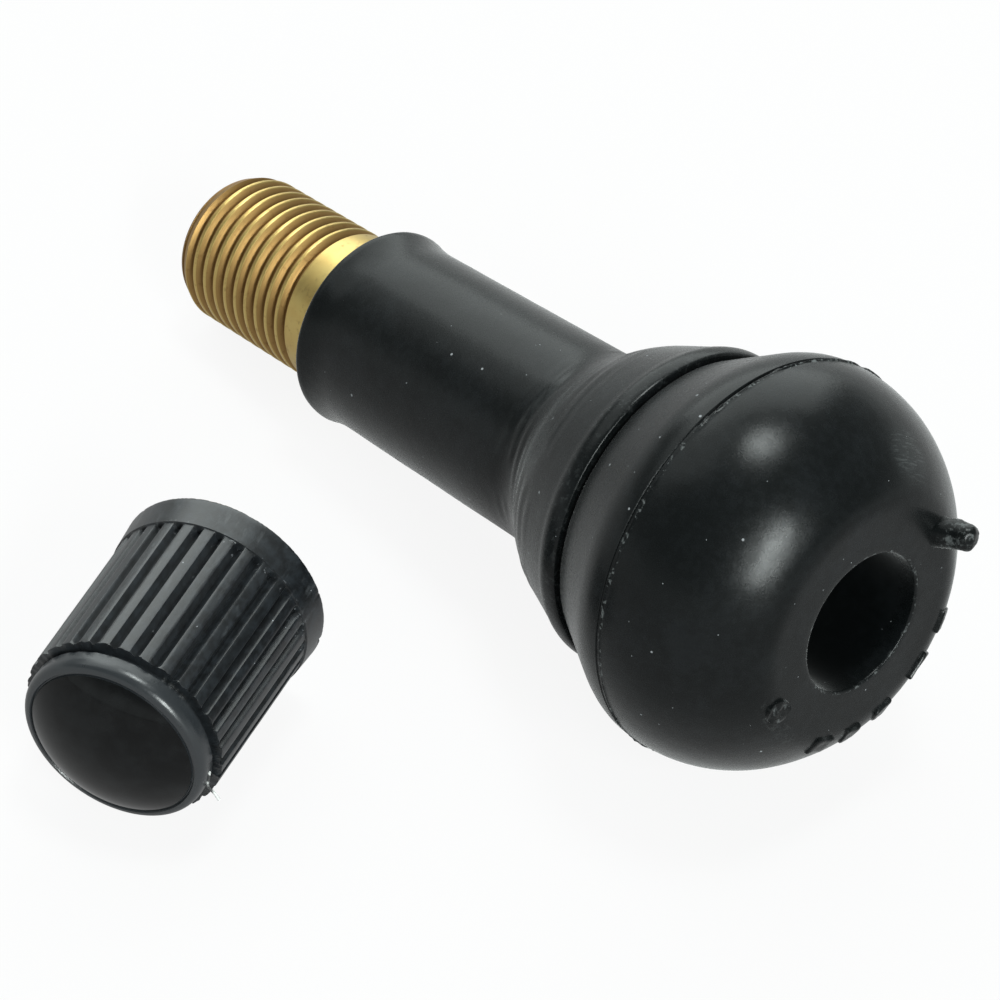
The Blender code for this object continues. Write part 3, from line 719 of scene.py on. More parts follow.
@dataclass(frozen=True)
class SatinPlastic(Finish):
    """Black moulded plastic: a smooth bead and rim with a painted highlight lightening the bead,
    and a grip with scuffed ribs.
    """

    painted_bead_highlight: Colour = (0.0180, 0.0210, 0.0240)
    black: Colour = (0.0060, 0.0070, 0.0080)
    grey: Colour = (0.0150, 0.0182, 0.0215)
    scuff: Colour = (0.085, 0.092, 0.098)
    dust: Colour = (0.40, 0.42, 0.45)
    specular: float = 0.66
    bead_roughness: float = 0.30
    grip_roughness: float = 0.34
    grip_start: float = 2.3
    crest_radius: float = 4.56
    rib_ends: Point = (9.5, 10.0)
    pebble: float = 0.000005
    grain: float = 0.000004
    mottle: Pattern = Pattern(2.2, 4.0, 0.6)
    fine: Pattern = Pattern(12.0, 3.0, 0.6)
    drag: Pattern = Pattern(1.0, 4.0, 0.7)
    crumbs: Pattern = Pattern(5.0, 4.0, 0.7)
    lint: Spatial = (2.4, 0.085, 0.10)

    def looks(self, nodes: Nodes, spot: Spot) -> Inputs:
        """Satin plastic with a painted highlight on the bead, drag marks on the ribs and a few
        specks.
        """
        mottle = nodes.noise(spot.place, self.mottle)
        fine = nodes.noise(spot.place, self.fine)
        grip = spot.height.rise(self.grip_start - 0.1, self.grip_start)
        colour = nodes.mix(mottle.rise(0.35, 0.7), self.black, self.grey)
        # painted highlight: below the grip the bead is lighter, as if it caught the light
        colour = nodes.mix(grip, self.painted_bead_highlight, colour)
        drag = nodes.noise(spot.turned(2.2, 0.5), self.drag).rise(0.56, 0.72)
        crest = spot.radius.rise(self.crest_radius - 0.08, self.crest_radius + 0.06)
        colour = nodes.mix(drag * (crest * grip) * 0.35, colour, self.scuff)
        crumbs = nodes.noise(spot.place, self.crumbs).rise(0.60, 0.72)
        crumbs = crumbs * spot.height.between(*self.rib_ends, 0.2)
        colour = nodes.mix(crumbs * 0.6, colour, self.dust)
        rough = self.bead_roughness + grip * (self.grip_roughness - self.bead_roughness)
        skin = nodes.bump(mottle, self.pebble)
        return {
            "Base Color": nodes.mix(nodes.specks(spot.place, *self.lint), colour, self.dust),
            "Roughness": rough + (mottle - 0.5) * 0.12 + (fine - 0.5) * 0.08,
            "Specular IOR Level": self.specular,
            "Normal": nodes.bump(fine, self.grain, below=skin)}


@dataclass(frozen=True)
class PolishedPlastic(Finish):
    """The deep glossy black of the cap's dome, with faint smears."""

    black: Colour = (0.0030, 0.0032, 0.0034)
    smear: Colour = (0.0065, 0.0070, 0.0074)
    specular: float = 0.20
    roughness: float = 0.07
    cloud: Pattern = Pattern(0.8, 3.0, 0.6)

    def looks(self, nodes: Nodes, spot: Spot) -> Inputs:
        """A mirror-like black that is a little duller in patches."""
        cloud = nodes.noise(spot.place, self.cloud)
        return {
            "Base Color": nodes.mix(cloud.rise(0.4, 0.7), self.black, self.smear),
            "Roughness": self.roughness + cloud.rise(0.45, 0.75) * 0.08,
            "Specular IOR Level": self.specular}


@dataclass(frozen=True)
class FlashWithPaintedHighlight(Finish):
    """A torn thread of flash: black and dull, with pale patches painted as highlight."""

    # painted highlight: the colour of the flash's pale patches
    pale: Colour = (0.75, 0.76, 0.74)
    dark: Colour = (0.05, 0.05, 0.05)
    roughness: float = 0.5
    cloud: Pattern = Pattern(1.6, 2.0, 0.6)

    def looks(self, nodes: Nodes, spot: Spot) -> Inputs:
        """Pale in patches as a painted highlight, and black elsewhere."""
        painted_highlight_share = nodes.noise(spot.place, self.cloud).rise(0.40, 0.55)
        return {"Base Color": nodes.mix(painted_highlight_share, self.dark, self.pale),
                "Roughness": self.roughness}


@dataclass(frozen=True)
class PlainSteel(Finish):
    """Drawn steel wire and rod, with faint marks round it."""

    colour: Colour = (0.56, 0.57, 0.59)
    dull: Colour = (0.34, 0.34, 0.35)
    roughness: float = 0.30
    marks: float = 0.000003
    rings: Pattern = Pattern(1.0, 2.0, 0.6)
    cloud: Pattern = Pattern(3.0, 3.0, 0.6)

    def looks(self, nodes: Nodes, spot: Spot) -> Inputs:
        """Grey metal with clouds and rings."""
        rings = nodes.noise(spot.turned(0.3, 22.0), self.rings)
        cloud = nodes.noise(spot.place, self.cloud)
        return {
            "Base Color": nodes.mix(cloud.rise(0.4, 0.75) * 0.6, self.colour, self.dull),
            "Metallic": 1.0,
            "Roughness": self.roughness + (rings - 0.5) * 0.16,
            "Normal": nodes.bump(rings, self.marks)}


@dataclass(frozen=True)
class SealRubber(Finish):
    """Matt dark grey rubber for the two small seals."""

    colour: Colour = (0.040, 0.041, 0.044)
    pale: Colour = (0.075, 0.077, 0.080)
    roughness: float = 0.62
    skin: float = 0.00001
    mottle: Pattern = Pattern(5.0, 4.0, 0.6)

    def looks(self, nodes: Nodes, spot: Spot) -> Inputs:
        """Uneven grey with a fine skin."""
        mottle = nodes.noise(spot.place, self.mottle)
        return {
            "Base Color": nodes.mix(mottle.rise(0.4, 0.7), self.colour, self.pale),
            "Roughness": self.roughness + (mottle - 0.5) * 0.2,
            "Normal": nodes.bump(mottle, self.skin)}


# ---------------------------------------------------------------- pieces


def add_piece(name: str, bm: BMesh, lying: Lying, body: Body,
              materials: Sequence[bpy.types.Material], node: str,
              sharp: float = 32.0) -> bpy.types.Object:
    """Lay a finished shape in the frame as a piece.

    Args:
        name: The piece's name.
        bm: Its shape in its own millimetres. It is used up.
        lying: How it lies.
        body: The body it rides on.
        materials: Its materials, in the order of its faces' numbers.
        node: The CAD node that it stands for.
        sharp: Edges that turn by more degrees than this stay sharp.

    Returns:
        The object.
    """
    bmesh.ops.transform(bm, matrix=lying.placed, verts=bm.verts)
    mesh = as_mesh(name, bm)
    mesh.shade_smooth()
    mesh.set_sharp_from_angle(angle=math.radians(sharp))
    for material in materials:
        mesh.materials.append(material)
    piece = linked(name, mesh)
    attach(piece, body.value)
    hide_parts(node)
    LOG.info("%s: %d faces, in place of %s", name, len(mesh.polygons), node)
    return piece


@dataclass
class RubberMoulding:
    """The rubber body: bulb with its air hole, rim groove, shoulder, flare and neck."""

    lying: Lying
    steps: int = 256
    hole_radius: float = 3.22
    hole_round: float = 0.12
    hole_depth: float = 9.0
    face_radius: float = 5.1
    face_edge: float = 0.5
    bulb_radius: float = 9.28
    dome_length: float = 7.6
    parting_height: float = 6.06
    flash_step: float = 0.096
    flash_width: float = 0.07
    flash_half: float = 0.025
    crease_offset: float = 0.14
    crease_depth: float = 0.14
    crease_end: float = 0.24
    crease_middle: float = 32.0
    trimmed_middle: float = -66.0
    corner_length: float = 0.81
    groove_height: float = 10.6
    groove_edge_radius: float = 7.34
    groove_lip: float = 0.06
    groove_radius: float = 6.95
    groove_width: float = 0.2
    groove_side: float = 0.1
    groove_ease: float = 0.02
    shoulder_radius: float = 7.60
    shoulder_edge: float = 0.14
    shoulder_length: float = 1.05
    shoulder_step: float = 0.17
    cone_angle: float = 22.0
    cone_length: float = 1.85
    flare_bend: float = 1.05
    flare_slope: float = 1.75
    flare_fillet: float = 1.3
    neck_bottom: float = 4.82
    neck_top: float = 4.70
    neck_end: float = 31.7
    lip_radius: float = 4.91
    lip_length: float = 1.8
    lip_round: float = 0.2
    pocket: Sequence[Point] = ((3.81, 31.7), (3.81, 31.0), (3.55, 30.6), (3.55, 13.05),
                               (4.15, 12.35), (4.15, 10.95), (1.3, 10.95), (1.3, 9.0))
    skin_radius: float = 4.45
    skin_height: float = 0.3
    unevenness: float = 0.014
    ripple: float = 0.004
    flow_depth: float = 0.07
    pip_circle: float = 5.2
    pip_angle: float = 62.0
    pip_radius: float = 0.72
    pip_lean: float = 18.0
    pip_root: float = 0.8
    pip_length: float = 1.6
    pip_round: float = 0.36
    stub_angle: float = 247.0
    stub_circle: float = 5.25
    stub_radius: float = 0.62
    stub_length: float = 0.8
    stub_height: float = 0.12
    stub_rings: Sequence[float] = (0.06, 0.12, 0.14, 0.14)
    stub_lean: float = 8.0
    bars: Sequence[Point] = ((116.0, 1.05), (138.0, 1.35), (163.0, 1.0), (182.0, 0.8),
                             (200.0, 1.1))
    bar_circle: float = 5.78
    bar_height: float = 0.33
    bar_slope: float = 30.0
    bar_length: float = 1.05
    bar_thickness: float = 0.5
    bar_round: float = 0.09

    def _dome(self, height: float) -> float:
        """The bulb's radius at a height below its parting line."""
        reach = (self.parting_height - height) / self.dome_length
        return self.bulb_radius * math.sqrt(1 - reach ** 2)

    def _outline(self) -> Outline:
        """The whole section, from the air hole's edge outwards and back through the pocket."""
        outline = Outline(self.hole_radius, self.hole_round)
        outline.bend((self.hole_radius, 0.0), (self.hole_radius + self.hole_round, 0.0), 4)
        outline.line(self.face_radius, 0.0, 7)
        self._bulb(outline)
        self._groove(outline)
        self._shoulder(outline, self.groove_height + self.groove_width)
        outline.path(*self.pocket)
        outline.line(self.hole_radius, self.hole_depth)
        outline.line(self.hole_radius, self.hole_round, 12)
        outline.points.pop()
        return outline

    def _bulb(self, outline: Outline) -> None:
        """Go on over the end face's edge, the dome, the flash and the crease above it."""
        edge = (self._dome(self.face_edge), self.face_edge)
        start = math.acos((self.parting_height - self.face_edge) / self.dome_length)
        end = math.acos(self.flash_width / self.dome_length)

        def over_dome(share: float) -> Point:
            """A point on the dome, by its share of the arc."""
            height = self.parting_height - self.dome_length * math.cos(
                start + (end - start) * share)
            return self._dome(height), height

        outline.bend(((self.face_radius + edge[0]) / 2, 0.0), edge, 5)
        outline.follow(over_dome, 40)
        fin = self.bulb_radius + self.flash_step
        outline.path((fin, self.parting_height - self.flash_half),
                     (fin, self.parting_height + self.flash_half))
        outline.line(self.bulb_radius - self.crease_depth,
                     self.parting_height + self.crease_offset, 2)
        outline.line(self.bulb_radius, self.parting_height + self.crease_end, 2)

    def _groove(self, outline: Outline) -> None:
        """Go on down the cone and into the rim groove."""
        corner = (self.bulb_radius, self.parting_height + self.crease_end + self.corner_length)
        slope = (self.bulb_radius - self.groove_edge_radius) / (self.groove_height - corner[1])
        cone = (self.bulb_radius - slope * self.corner_length, corner[1] + self.corner_length)
        lip = self.groove_lip
        outline.bend(corner, cone, 10)
        outline.line(self.groove_edge_radius + slope * lip, self.groove_height - lip, 12)
        outline.bend((self.groove_edge_radius, self.groove_height),
                     (self.groove_edge_radius - lip, self.groove_height + self.groove_ease), 3)
        outline.line(self.groove_radius, self.groove_height + self.groove_side, 2)
        outline.line(self.groove_radius,
                     self.groove_height + self.groove_width - self.groove_ease, 2)

    def _shoulder(self, outline: Outline, base: float) -> None:
        """Go on over the shoulder, the flare and the neck to its open end."""
        cone = (self.shoulder_radius - self.shoulder_step, base + self.shoulder_length)
        crest = (self.shoulder_radius, base + self.shoulder_length / 2)
        slope = math.tan(math.radians(self.cone_angle))
        cone_end = (cone[0] - slope * self.cone_length, cone[1] + self.cone_length)
        bend = (cone_end[0] - slope * self.flare_bend, cone_end[1] + self.flare_bend)
        corner = (self.neck_bottom, bend[1] + self.flare_slope)
        middle = ((bend[0] + corner[0]) / 2, (bend[1] + corner[1]) / 2)
        lip = self.neck_end - self.lip_length
        lip_edge = (self.lip_radius, self.neck_end - self.lip_round)
        outline.line(self.shoulder_radius - self.shoulder_edge, base, 2)
        outline.bend((self.shoulder_radius, base), crest, 6)
        outline.bend((self.shoulder_radius, (crest[1] + cone[1]) / 2), cone, 5)
        outline.line(*cone_end, 10)
        outline.bend(bend, middle, 10)
        outline.bend(corner, (self.neck_bottom, corner[1] + self.flare_fillet), 14)
        outline.line(self.neck_top, lip, 48)
        outline.bend((self.neck_top, (lip + lip_edge[1]) / 2), lip_edge, 8)
        outline.bend((self.lip_radius, self.neck_end),
                     (self.lip_radius - self.lip_round, self.neck_end), 4)

    def _press(self, bm: BMesh) -> None:
        """Give the skin its broken flash, its flow marks and its slight unevenness."""
        bm.normal_update()
        for vert in bm.verts:
            radius, angle = polar(vert.co)
            height = vert.co.z
            if radius < self.skin_radius and height > self.skin_height:
                continue
            normal = vert.normal.copy()
            amount = self.unevenness * noise.noise(vert.co * 0.42)
            amount += self.ripple * noise.noise(vert.co * 1.7 + Vector((9.0, 0.0, 0.0)))
            amount += self._flow_marks(angle, height, vert.co)
            above = height - self.parting_height
            if abs(above) < self.flash_half + TINY:
                amount = -self.flash_step * (1.0 - self._flash_left(angle))
            elif abs(above - self.crease_offset) < TINY:
                amount += self.crease_depth * (1.0 - self._crease_left(angle))
            vert.co += normal * amount

    def _flash_left(self, angle: float) -> float:
        """The share of the flash's height that is left at an angle, with torn places."""
        around = Vector((math.cos(angle), math.sin(angle), 0.3)) * 9.0
        ragged = noise.noise(around * 0.7) + 0.9 * noise.noise(around * 3.1)
        under = 1.0 - ease(gap_between(angle, math.pi), 0.25, 0.5)
        trimmed = 1.0 - ease(gap_between(angle, math.radians(self.trimmed_middle)), 0.6, 0.9)
        left = 0.10 + 0.90 * ease(ragged, -0.40, 0.6)
        return max(under, left * (1.0 - 0.85 * trimmed))

    def _crease_left(self, angle: float) -> float:
        """The share of the crease's depth at an angle: deep on top, broken further round."""
        around = Vector((math.cos(angle), math.sin(angle), 1.7)) * 9.0
        breaks = ease(noise.noise(around * 1.6), 0.35, 0.5)
        top = 1.0 - ease(gap_between(angle, math.radians(self.crease_middle)), 0.90, 1.0)
        return max(0.02, top * (1.0 - breaks))

    def _flow_marks(self, angle: float, height: float, place: Vector) -> float:
        """Soft folds in the flare, where the rubber flowed together in the mould."""
        here = ease(height, 13.0, 14.4) * (1.0 - ease(height, 16.6, 18.2))
        if here == 0.0:
            return 0.0
        wave = math.sin(height * 4.6 + 2.2 * noise.noise(place * 0.35) + angle)
        patch = ease(noise.noise(place * 0.4 + Vector((3.0, 7.0, 1.0))), -0.2, 0.3)
        return self.flow_depth * here * (abs(wave) ** 3 - 0.3) * patch

    def _pip(self) -> BMesh:
        """The long moulding pip: a rough peg that thins out and ends round."""
        bm = bmesh.new()
        bmesh.ops.create_cone(bm, cap_ends=True, segments=24, radius1=self.pip_radius * 1.05,
                              radius2=self.pip_radius * 0.78,
                              depth=self.pip_length + self.pip_root)
        ends = [edge for edge in bm.edges if all(v.co.z > 0 for v in edge.verts)]
        bmesh.ops.bevel(bm, geom=ends, offset=self.pip_round, offset_type="OFFSET", segments=5,
                        profile=0.5, affect="EDGES", material=-1)
        sides = [edge for edge in bm.edges if abs(edge.verts[0].co.z - edge.verts[1].co.z) > 1.0]
        bmesh.ops.subdivide_edges(bm, edges=sides, cuts=12, use_grid_fill=True)
        for vert in bm.verts:
            lump = 0.07 * noise.noise(vert.co * 1.9) + 0.04 * noise.noise(vert.co * 5.0)
            vert.co += vert.co.normalized() * lump
        place = round_axis(self.pip_angle, self.pip_circle, 0.0, 180.0 - self.pip_lean)
        middle = Matrix.Translation((0.0, 0.0, (self.pip_length - self.pip_root) / 2))
        bmesh.ops.transform(bm, matrix=place @ middle, verts=bm.verts)
        return bm

    def _stub(self) -> BMesh:
        """The second pip, cut off short, with a torn top."""
        bm = bmesh.new()
        bmesh.ops.create_cone(bm, cap_ends=True, segments=28, radius1=self.stub_radius,
                              radius2=self.stub_radius * 0.92, depth=self.stub_length)
        caps = [face for face in bm.faces if len(face.verts) > 4 and face.normal.z > 0]
        for inset in self.stub_rings:
            bmesh.ops.inset_region(bm, faces=caps, thickness=inset, use_even_offset=True)
        for vert in bm.verts:
            if vert.co.z > 0.0:
                vert.co.z += 0.08 * noise.noise(vert.co * 3.6 + Vector((2.0, 5.0, 0.0)))
        place = round_axis(self.stub_angle, self.stub_circle,
                           self.stub_length / 2 - self.stub_height, 180.0 - self.stub_lean)
        bmesh.ops.transform(bm, matrix=place, verts=bm.verts)
        return bm

    def _bars(self) -> BMesh:
        """Plain raised bars round part of the end face, with worn, uneven tops."""
        bars = []
        for angle, width in self.bars:
            bar = bmesh.new()
            bmesh.ops.create_cube(bar, size=1.0)
            bmesh.ops.scale(bar, vec=(self.bar_length, width, self.bar_thickness),
                            verts=bar.verts)
            bmesh.ops.bevel(bar, geom=list(bar.edges), offset=self.bar_round,
                            offset_type="OFFSET", segments=2, profile=0.5, affect="EDGES",
                            material=-1)
            bmesh.ops.subdivide_edges(bar, edges=bar.edges, cuts=4, use_grid_fill=True)
            for vert in bar.verts:
                around = vert.co * 2.6 + Vector((angle, 0.0, 0.0))
                vert.co += vert.co.normalized() * 0.10 * noise.noise(around)
            place = round_axis(angle, self.bar_circle, self.bar_height, -self.bar_slope)
            bmesh.ops.transform(bar, matrix=place, verts=bar.verts)
            bars.append(bar)
        return merged(bars)

    def build(self) -> bpy.types.Object:
        """Mould the body and lay it in the frame."""
        bm = self._outline().spin(self.steps)
        self._press(bm)
        bm = joined(bm, merged([self._pip(), self._stub(), self._bars()]), Join.ADD)
        material = MouldedRubber().build("valve_rubber", self.lying)
        return add_piece("moulded_body", bm, self.lying, Body.VALVE, [material],
                         "rubber_body", sharp=40.0)


@dataclass
class ThreadedStem:
    """The turned brass stem, with the outer thread and the thread for the core cut in."""

    lying: Lying
    steps: int = 144
    foot: Sequence[Point] = ((1.3, 11.0), (3.8, 11.0), (4.1, 11.3), (4.1, 12.3), (3.5, 13.0))
    groove_starts: Sequence[float] = (18.167, 24.033)
    groove_depth: float = 0.35
    groove_width: float = 1.4
    groove_side: float = 0.3
    shank_radius: float = 3.5
    shank_step: float = 0.4
    collar_radius: float = 3.785
    collar_start: float = 31.0
    collar_end: float = 32.9
    thread_radius: float = 3.8
    thread_step: float = 0.3
    chamfer_length: float = 0.9
    chamfer_step: float = 0.4
    length: float = 42.5
    mouth_chamfer: float = 0.3
    bore_radius: float = 2.43
    cone_depth: float = 7.2
    cone_length: float = 2.2
    chamber_radius: float = 1.95
    chamber_depth: float = 18.5
    air_radius: float = 1.3
    floor_cone: float = 1.0
    pitch: float = 0.79375
    turns_to_edge: int = 10
    overrun: float = 0.4
    fade: float = 0.25
    fade_step: float = 0.5
    crest_width: float = 0.12
    groove: Sequence[Point] = ((3.90, 0.370), (3.80, 0.335), (3.78, 0.30), (3.47, 0.07),
                               (3.47, -0.07), (3.78, -0.30), (3.80, -0.335), (3.90, -0.370))
    core_pitch: float = 0.70556
    thread_end: float = 0.6
    core_groove: Sequence[Point] = ((2.30, 0.34), (2.45, 0.27), (2.64, 0.06), (2.64, -0.06),
                                    (2.45, -0.27), (2.30, -0.34))

    def _blank(self) -> BMesh:
        """The stem before its threads are cut."""
        outline = Outline(*self.foot[0]).path(*self.foot[1:])
        floor = self.shank_radius - self.groove_depth
        for start in self.groove_starts:
            end = start + self.groove_width
            outline.path((self.shank_radius, start), (floor, start + self.groove_side),
                         (floor, end - self.groove_side), (self.shank_radius, end))
        outline.path((self.shank_radius, self.collar_start - self.shank_step),
                     (self.collar_radius, self.collar_start))
        outline.line(self.collar_radius, self.collar_end, 2)
        tip = self.thread_radius - self.chamfer_step
        outline.path((self.thread_radius, self.collar_end + self.thread_step),
                     (self.thread_radius, self.length - self.chamfer_length),
                     (tip + 0.05, self.length - 0.1))
        outline.bend((tip, self.length), (tip - 0.07, self.length), 3)
        mouth = self.bore_radius + self.mouth_chamfer
        outline.line(mouth + 0.04, self.length)
        outline.bend((mouth, self.length), (mouth - 0.04, self.length - 0.04), 2)
        outline.line(self.bore_radius, self.length - self.mouth_chamfer)
        outline.line(self.bore_radius, self.length - self.cone_depth, 8)
        floor = self.length - self.chamber_depth
        outline.path((self.chamber_radius, self.length - self.cone_depth - self.cone_length),
                     (self.chamber_radius, floor), (self.air_radius, floor - self.floor_cone))
        return outline.spin(self.steps)

    def _threads(self) -> BMesh:
        """The cutters of the outer thread and of the thread for the core."""
        edge = self.length - self.chamfer_length - self.crest_width / 2
        start = edge - self.turns_to_edge * self.pitch
        turns = math.ceil((self.length + self.overrun - start) / self.pitch)
        depth = self.cone_depth - self.thread_end
        inner_turns = math.ceil((depth + self.thread_step) / self.core_pitch)
        return merged([
            Helix(self.groove, self.pitch, start, turns, 72, self.fade, self.fade_step).shape(),
            Helix(self.core_groove, self.core_pitch, self.length - depth, inner_turns,
                  48).shape()])

    def build(self) -> bpy.types.Object:
        """Turn the blank, cut both threads and lay the stem in the frame."""
        bm = joined(self._blank(), self._threads(), Join.CUT)
        material = TurnedBrass().build("stem_brass", self.lying)
        return add_piece("threaded_stem", bm, self.lying, Body.VALVE, [material],
                         "stem", sharp=24.0)


@dataclass
class ScrewCore:
    """The valve core: plug, pin and spring, and finishes for its hidden pieces.

    Its depths count from the stem's mouth inwards.
    """

    lying: Lying
    length: float = 42.5
    steps: int = 96
    plug_radius: float = 2.37
    plug_top: float = 2.2
    plug_cavity: float = 3.9
    plug_lip: float = 5.85
    plug_end: float = 6.3
    plug_edge: float = 0.12
    plug_chamfer: float = 0.1
    pin_hole: float = 0.5
    cavity_radius: float = 1.66
    neck_radius: float = 1.26
    bridge_width: float = 2.2
    window_depth: float = 0.2
    flat_cutter: Spatial = (8.0, 3.0, 4.0)
    groove: Sequence[Point] = ((2.50, 0.34), (2.36, 0.27), (2.14, 0.05), (2.14, -0.05),
                               (2.36, -0.27), (2.50, -0.34))
    pitch: float = 0.70556
    overrun: float = 0.2
    pin_radius: float = 0.4
    pin_depth: float = 0.3
    head_radius: float = 0.75
    head_length: float = 0.6
    head_round: float = 0.2
    head_edge: float = 0.05
    collar_radius: float = 0.74
    collar_length: float = 0.4
    rivet_radius: float = 0.6
    rivet_length: float = 0.35
    rivet_flat: float = 0.2
    coil_radius: float = 0.63
    wire_radius: float = 0.11
    coil_turns: int = 8
    press_travel: float = 1.2

    def _plug(self) -> BMesh:
        """The plug: a bridge for the key, two windows, a lip round the barrel and a thread."""
        outline = Outline(self.pin_hole, -self.plug_top)
        outline.path((self.plug_radius - self.plug_edge, -self.plug_top),
                     (self.plug_radius, -self.plug_top - self.plug_edge))
        outline.line(self.plug_radius, -self.plug_end + self.plug_chamfer, 6)
        outline.path((self.plug_radius - self.plug_chamfer, -self.plug_end),
                     (self.neck_radius, -self.plug_end), (self.neck_radius, -self.plug_lip),
                     (self.cavity_radius, -self.plug_lip),
                     (self.cavity_radius, -self.plug_cavity), (self.pin_hole, -self.plug_cavity))
        bm = outline.spin(self.steps)
        flats = bmesh.new()
        size = Vector(self.flat_cutter)
        bottom = -(self.plug_cavity + self.window_depth)
        for side in (1.0, -1.0):
            centre = Vector((0.0, side * (self.bridge_width + size.y) / 2, bottom + size.z / 2))
            bmesh.ops.create_cube(flats, matrix=Matrix.Translation(centre) @ Matrix.Diagonal(
                (*size, 1.0)))
        turns = math.ceil((self.plug_end - self.plug_top) / self.pitch + 0.8)
        thread = Helix(self.groove, self.pitch, -self.plug_end - self.overrun, turns, 48)
        return joined(joined(bm, thread.shape(), Join.CUT), flats, Join.CUT)

    def _pin(self) -> BMesh:
        """The pin with its rounded head, the spring's collar and the riveted end."""
        end = self._reach("core_pin")[1]
        collar = self._reach("core_barrel")[0] + self.collar_length
        neck = self.pin_depth + self.head_length
        outline = Outline(0.0, -self.pin_depth)
        outline.line(self.head_radius * 0.55, -self.pin_depth - 0.01, 2)
        outline.bend((self.head_radius, -self.pin_depth - 0.02),
                     (self.head_radius, -self.pin_depth - self.head_round), 6)
        outline.path((self.head_radius, -neck + self.head_edge),
                     (self.head_radius - self.head_edge, -neck), (self.pin_radius, -neck))
        outline.line(self.pin_radius, -collar, 6)
        outline.path((self.collar_radius, -collar),
                     (self.collar_radius, -collar - self.collar_length),
                     (self.pin_radius, -collar - self.collar_length))
        outline.line(self.pin_radius, -end + self.rivet_length, 6)
        outline.line(self.rivet_radius, -end + self.rivet_length)
        outline.bend((self.rivet_radius, -end), (self.rivet_flat, -end), 4)
        outline.line(0.0, -end)
        return outline.spin(48, solid=True)

    def _spring(self) -> BMesh:
        """The coil spring of round wire, as it stands at rest."""
        top, bottom = self._reach("core_spring")
        wire = [(self.coil_radius + self.wire_radius * math.cos(math.tau * part / 12),
                 self.wire_radius * math.sin(math.tau * part / 12)) for part in range(12)]
        pitch = (bottom - top - 2 * self.wire_radius) / self.coil_turns
        return Helix(wire, -pitch, -top - self.wire_radius, self.coil_turns, 24).shape()

    def _let_shorten(self, spring: bpy.types.Object) -> None:
        """Give the spring its own copy of its mesh. The spring's axis and the barrel's floor are
        worked out but not used.
        """
        top, bottom = self._reach("core_spring")
        place = self.lying.placed
        axis = place.to_3x3() @ Vector((0.0, 0.0, 1.0))
        floor = place @ Vector((0.0, 0.0, self.length - bottom))
        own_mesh(spring)

    def _reach(self, node: str) -> Point:
        """The least and the greatest depth of a CAD node below the stem's mouth."""
        back = self.lying.placed.inverted()
        depths = [self.length - (back @ vert.co).z
                  for vert in bpy.data.objects[node].data.vertices]
        return min(depths), max(depths)

    def _dress(self, node: str, material: bpy.types.Material) -> None:
        """Give a CAD node that keeps its own shape a better material."""
        materials = bpy.data.objects[node].data.materials
        materials.clear()
        materials.append(material)
        LOG.info("%s keeps its CAD shape, with %s", node, material.name)

    def build(self) -> List[bpy.types.Object]:
        """Make the plug, the pin and the spring, and dress the ones that stay as they are."""
        brass = TurnedBrass(root_radius=0.1, flank_radius=0.2,
                            crest_radius=0.3).build("core_brass", self.lying)
        steel = PlainSteel().build("core_steel", self.lying)
        seal = SealRubber().build("seal_rubber", self.lying)
        shapes = [self._plug(), self._pin(), self._spring()]
        for bm in shapes:
            bmesh.ops.translate(bm, verts=bm.verts, vec=(0.0, 0.0, self.length))
        plug, pin, spring = shapes
        made = [
            add_piece("threaded_plug", plug, self.lying, Body.PLUG, [brass],
                      "core_plug", sharp=24.0),
            add_piece("plunger_pin", pin, self.lying, Body.PIN, [steel], "core_pin"),
            add_piece("coil_spring", spring, self.lying, Body.BARREL, [steel],
                      "core_spring")]
        self._let_shorten(made[-1])
        for node, material in (("core_barrel", brass), ("plunger_cup", brass),
                               ("barrel_seal", seal), ("cup_seal", seal)):
            self._dress(node, material)
        return made


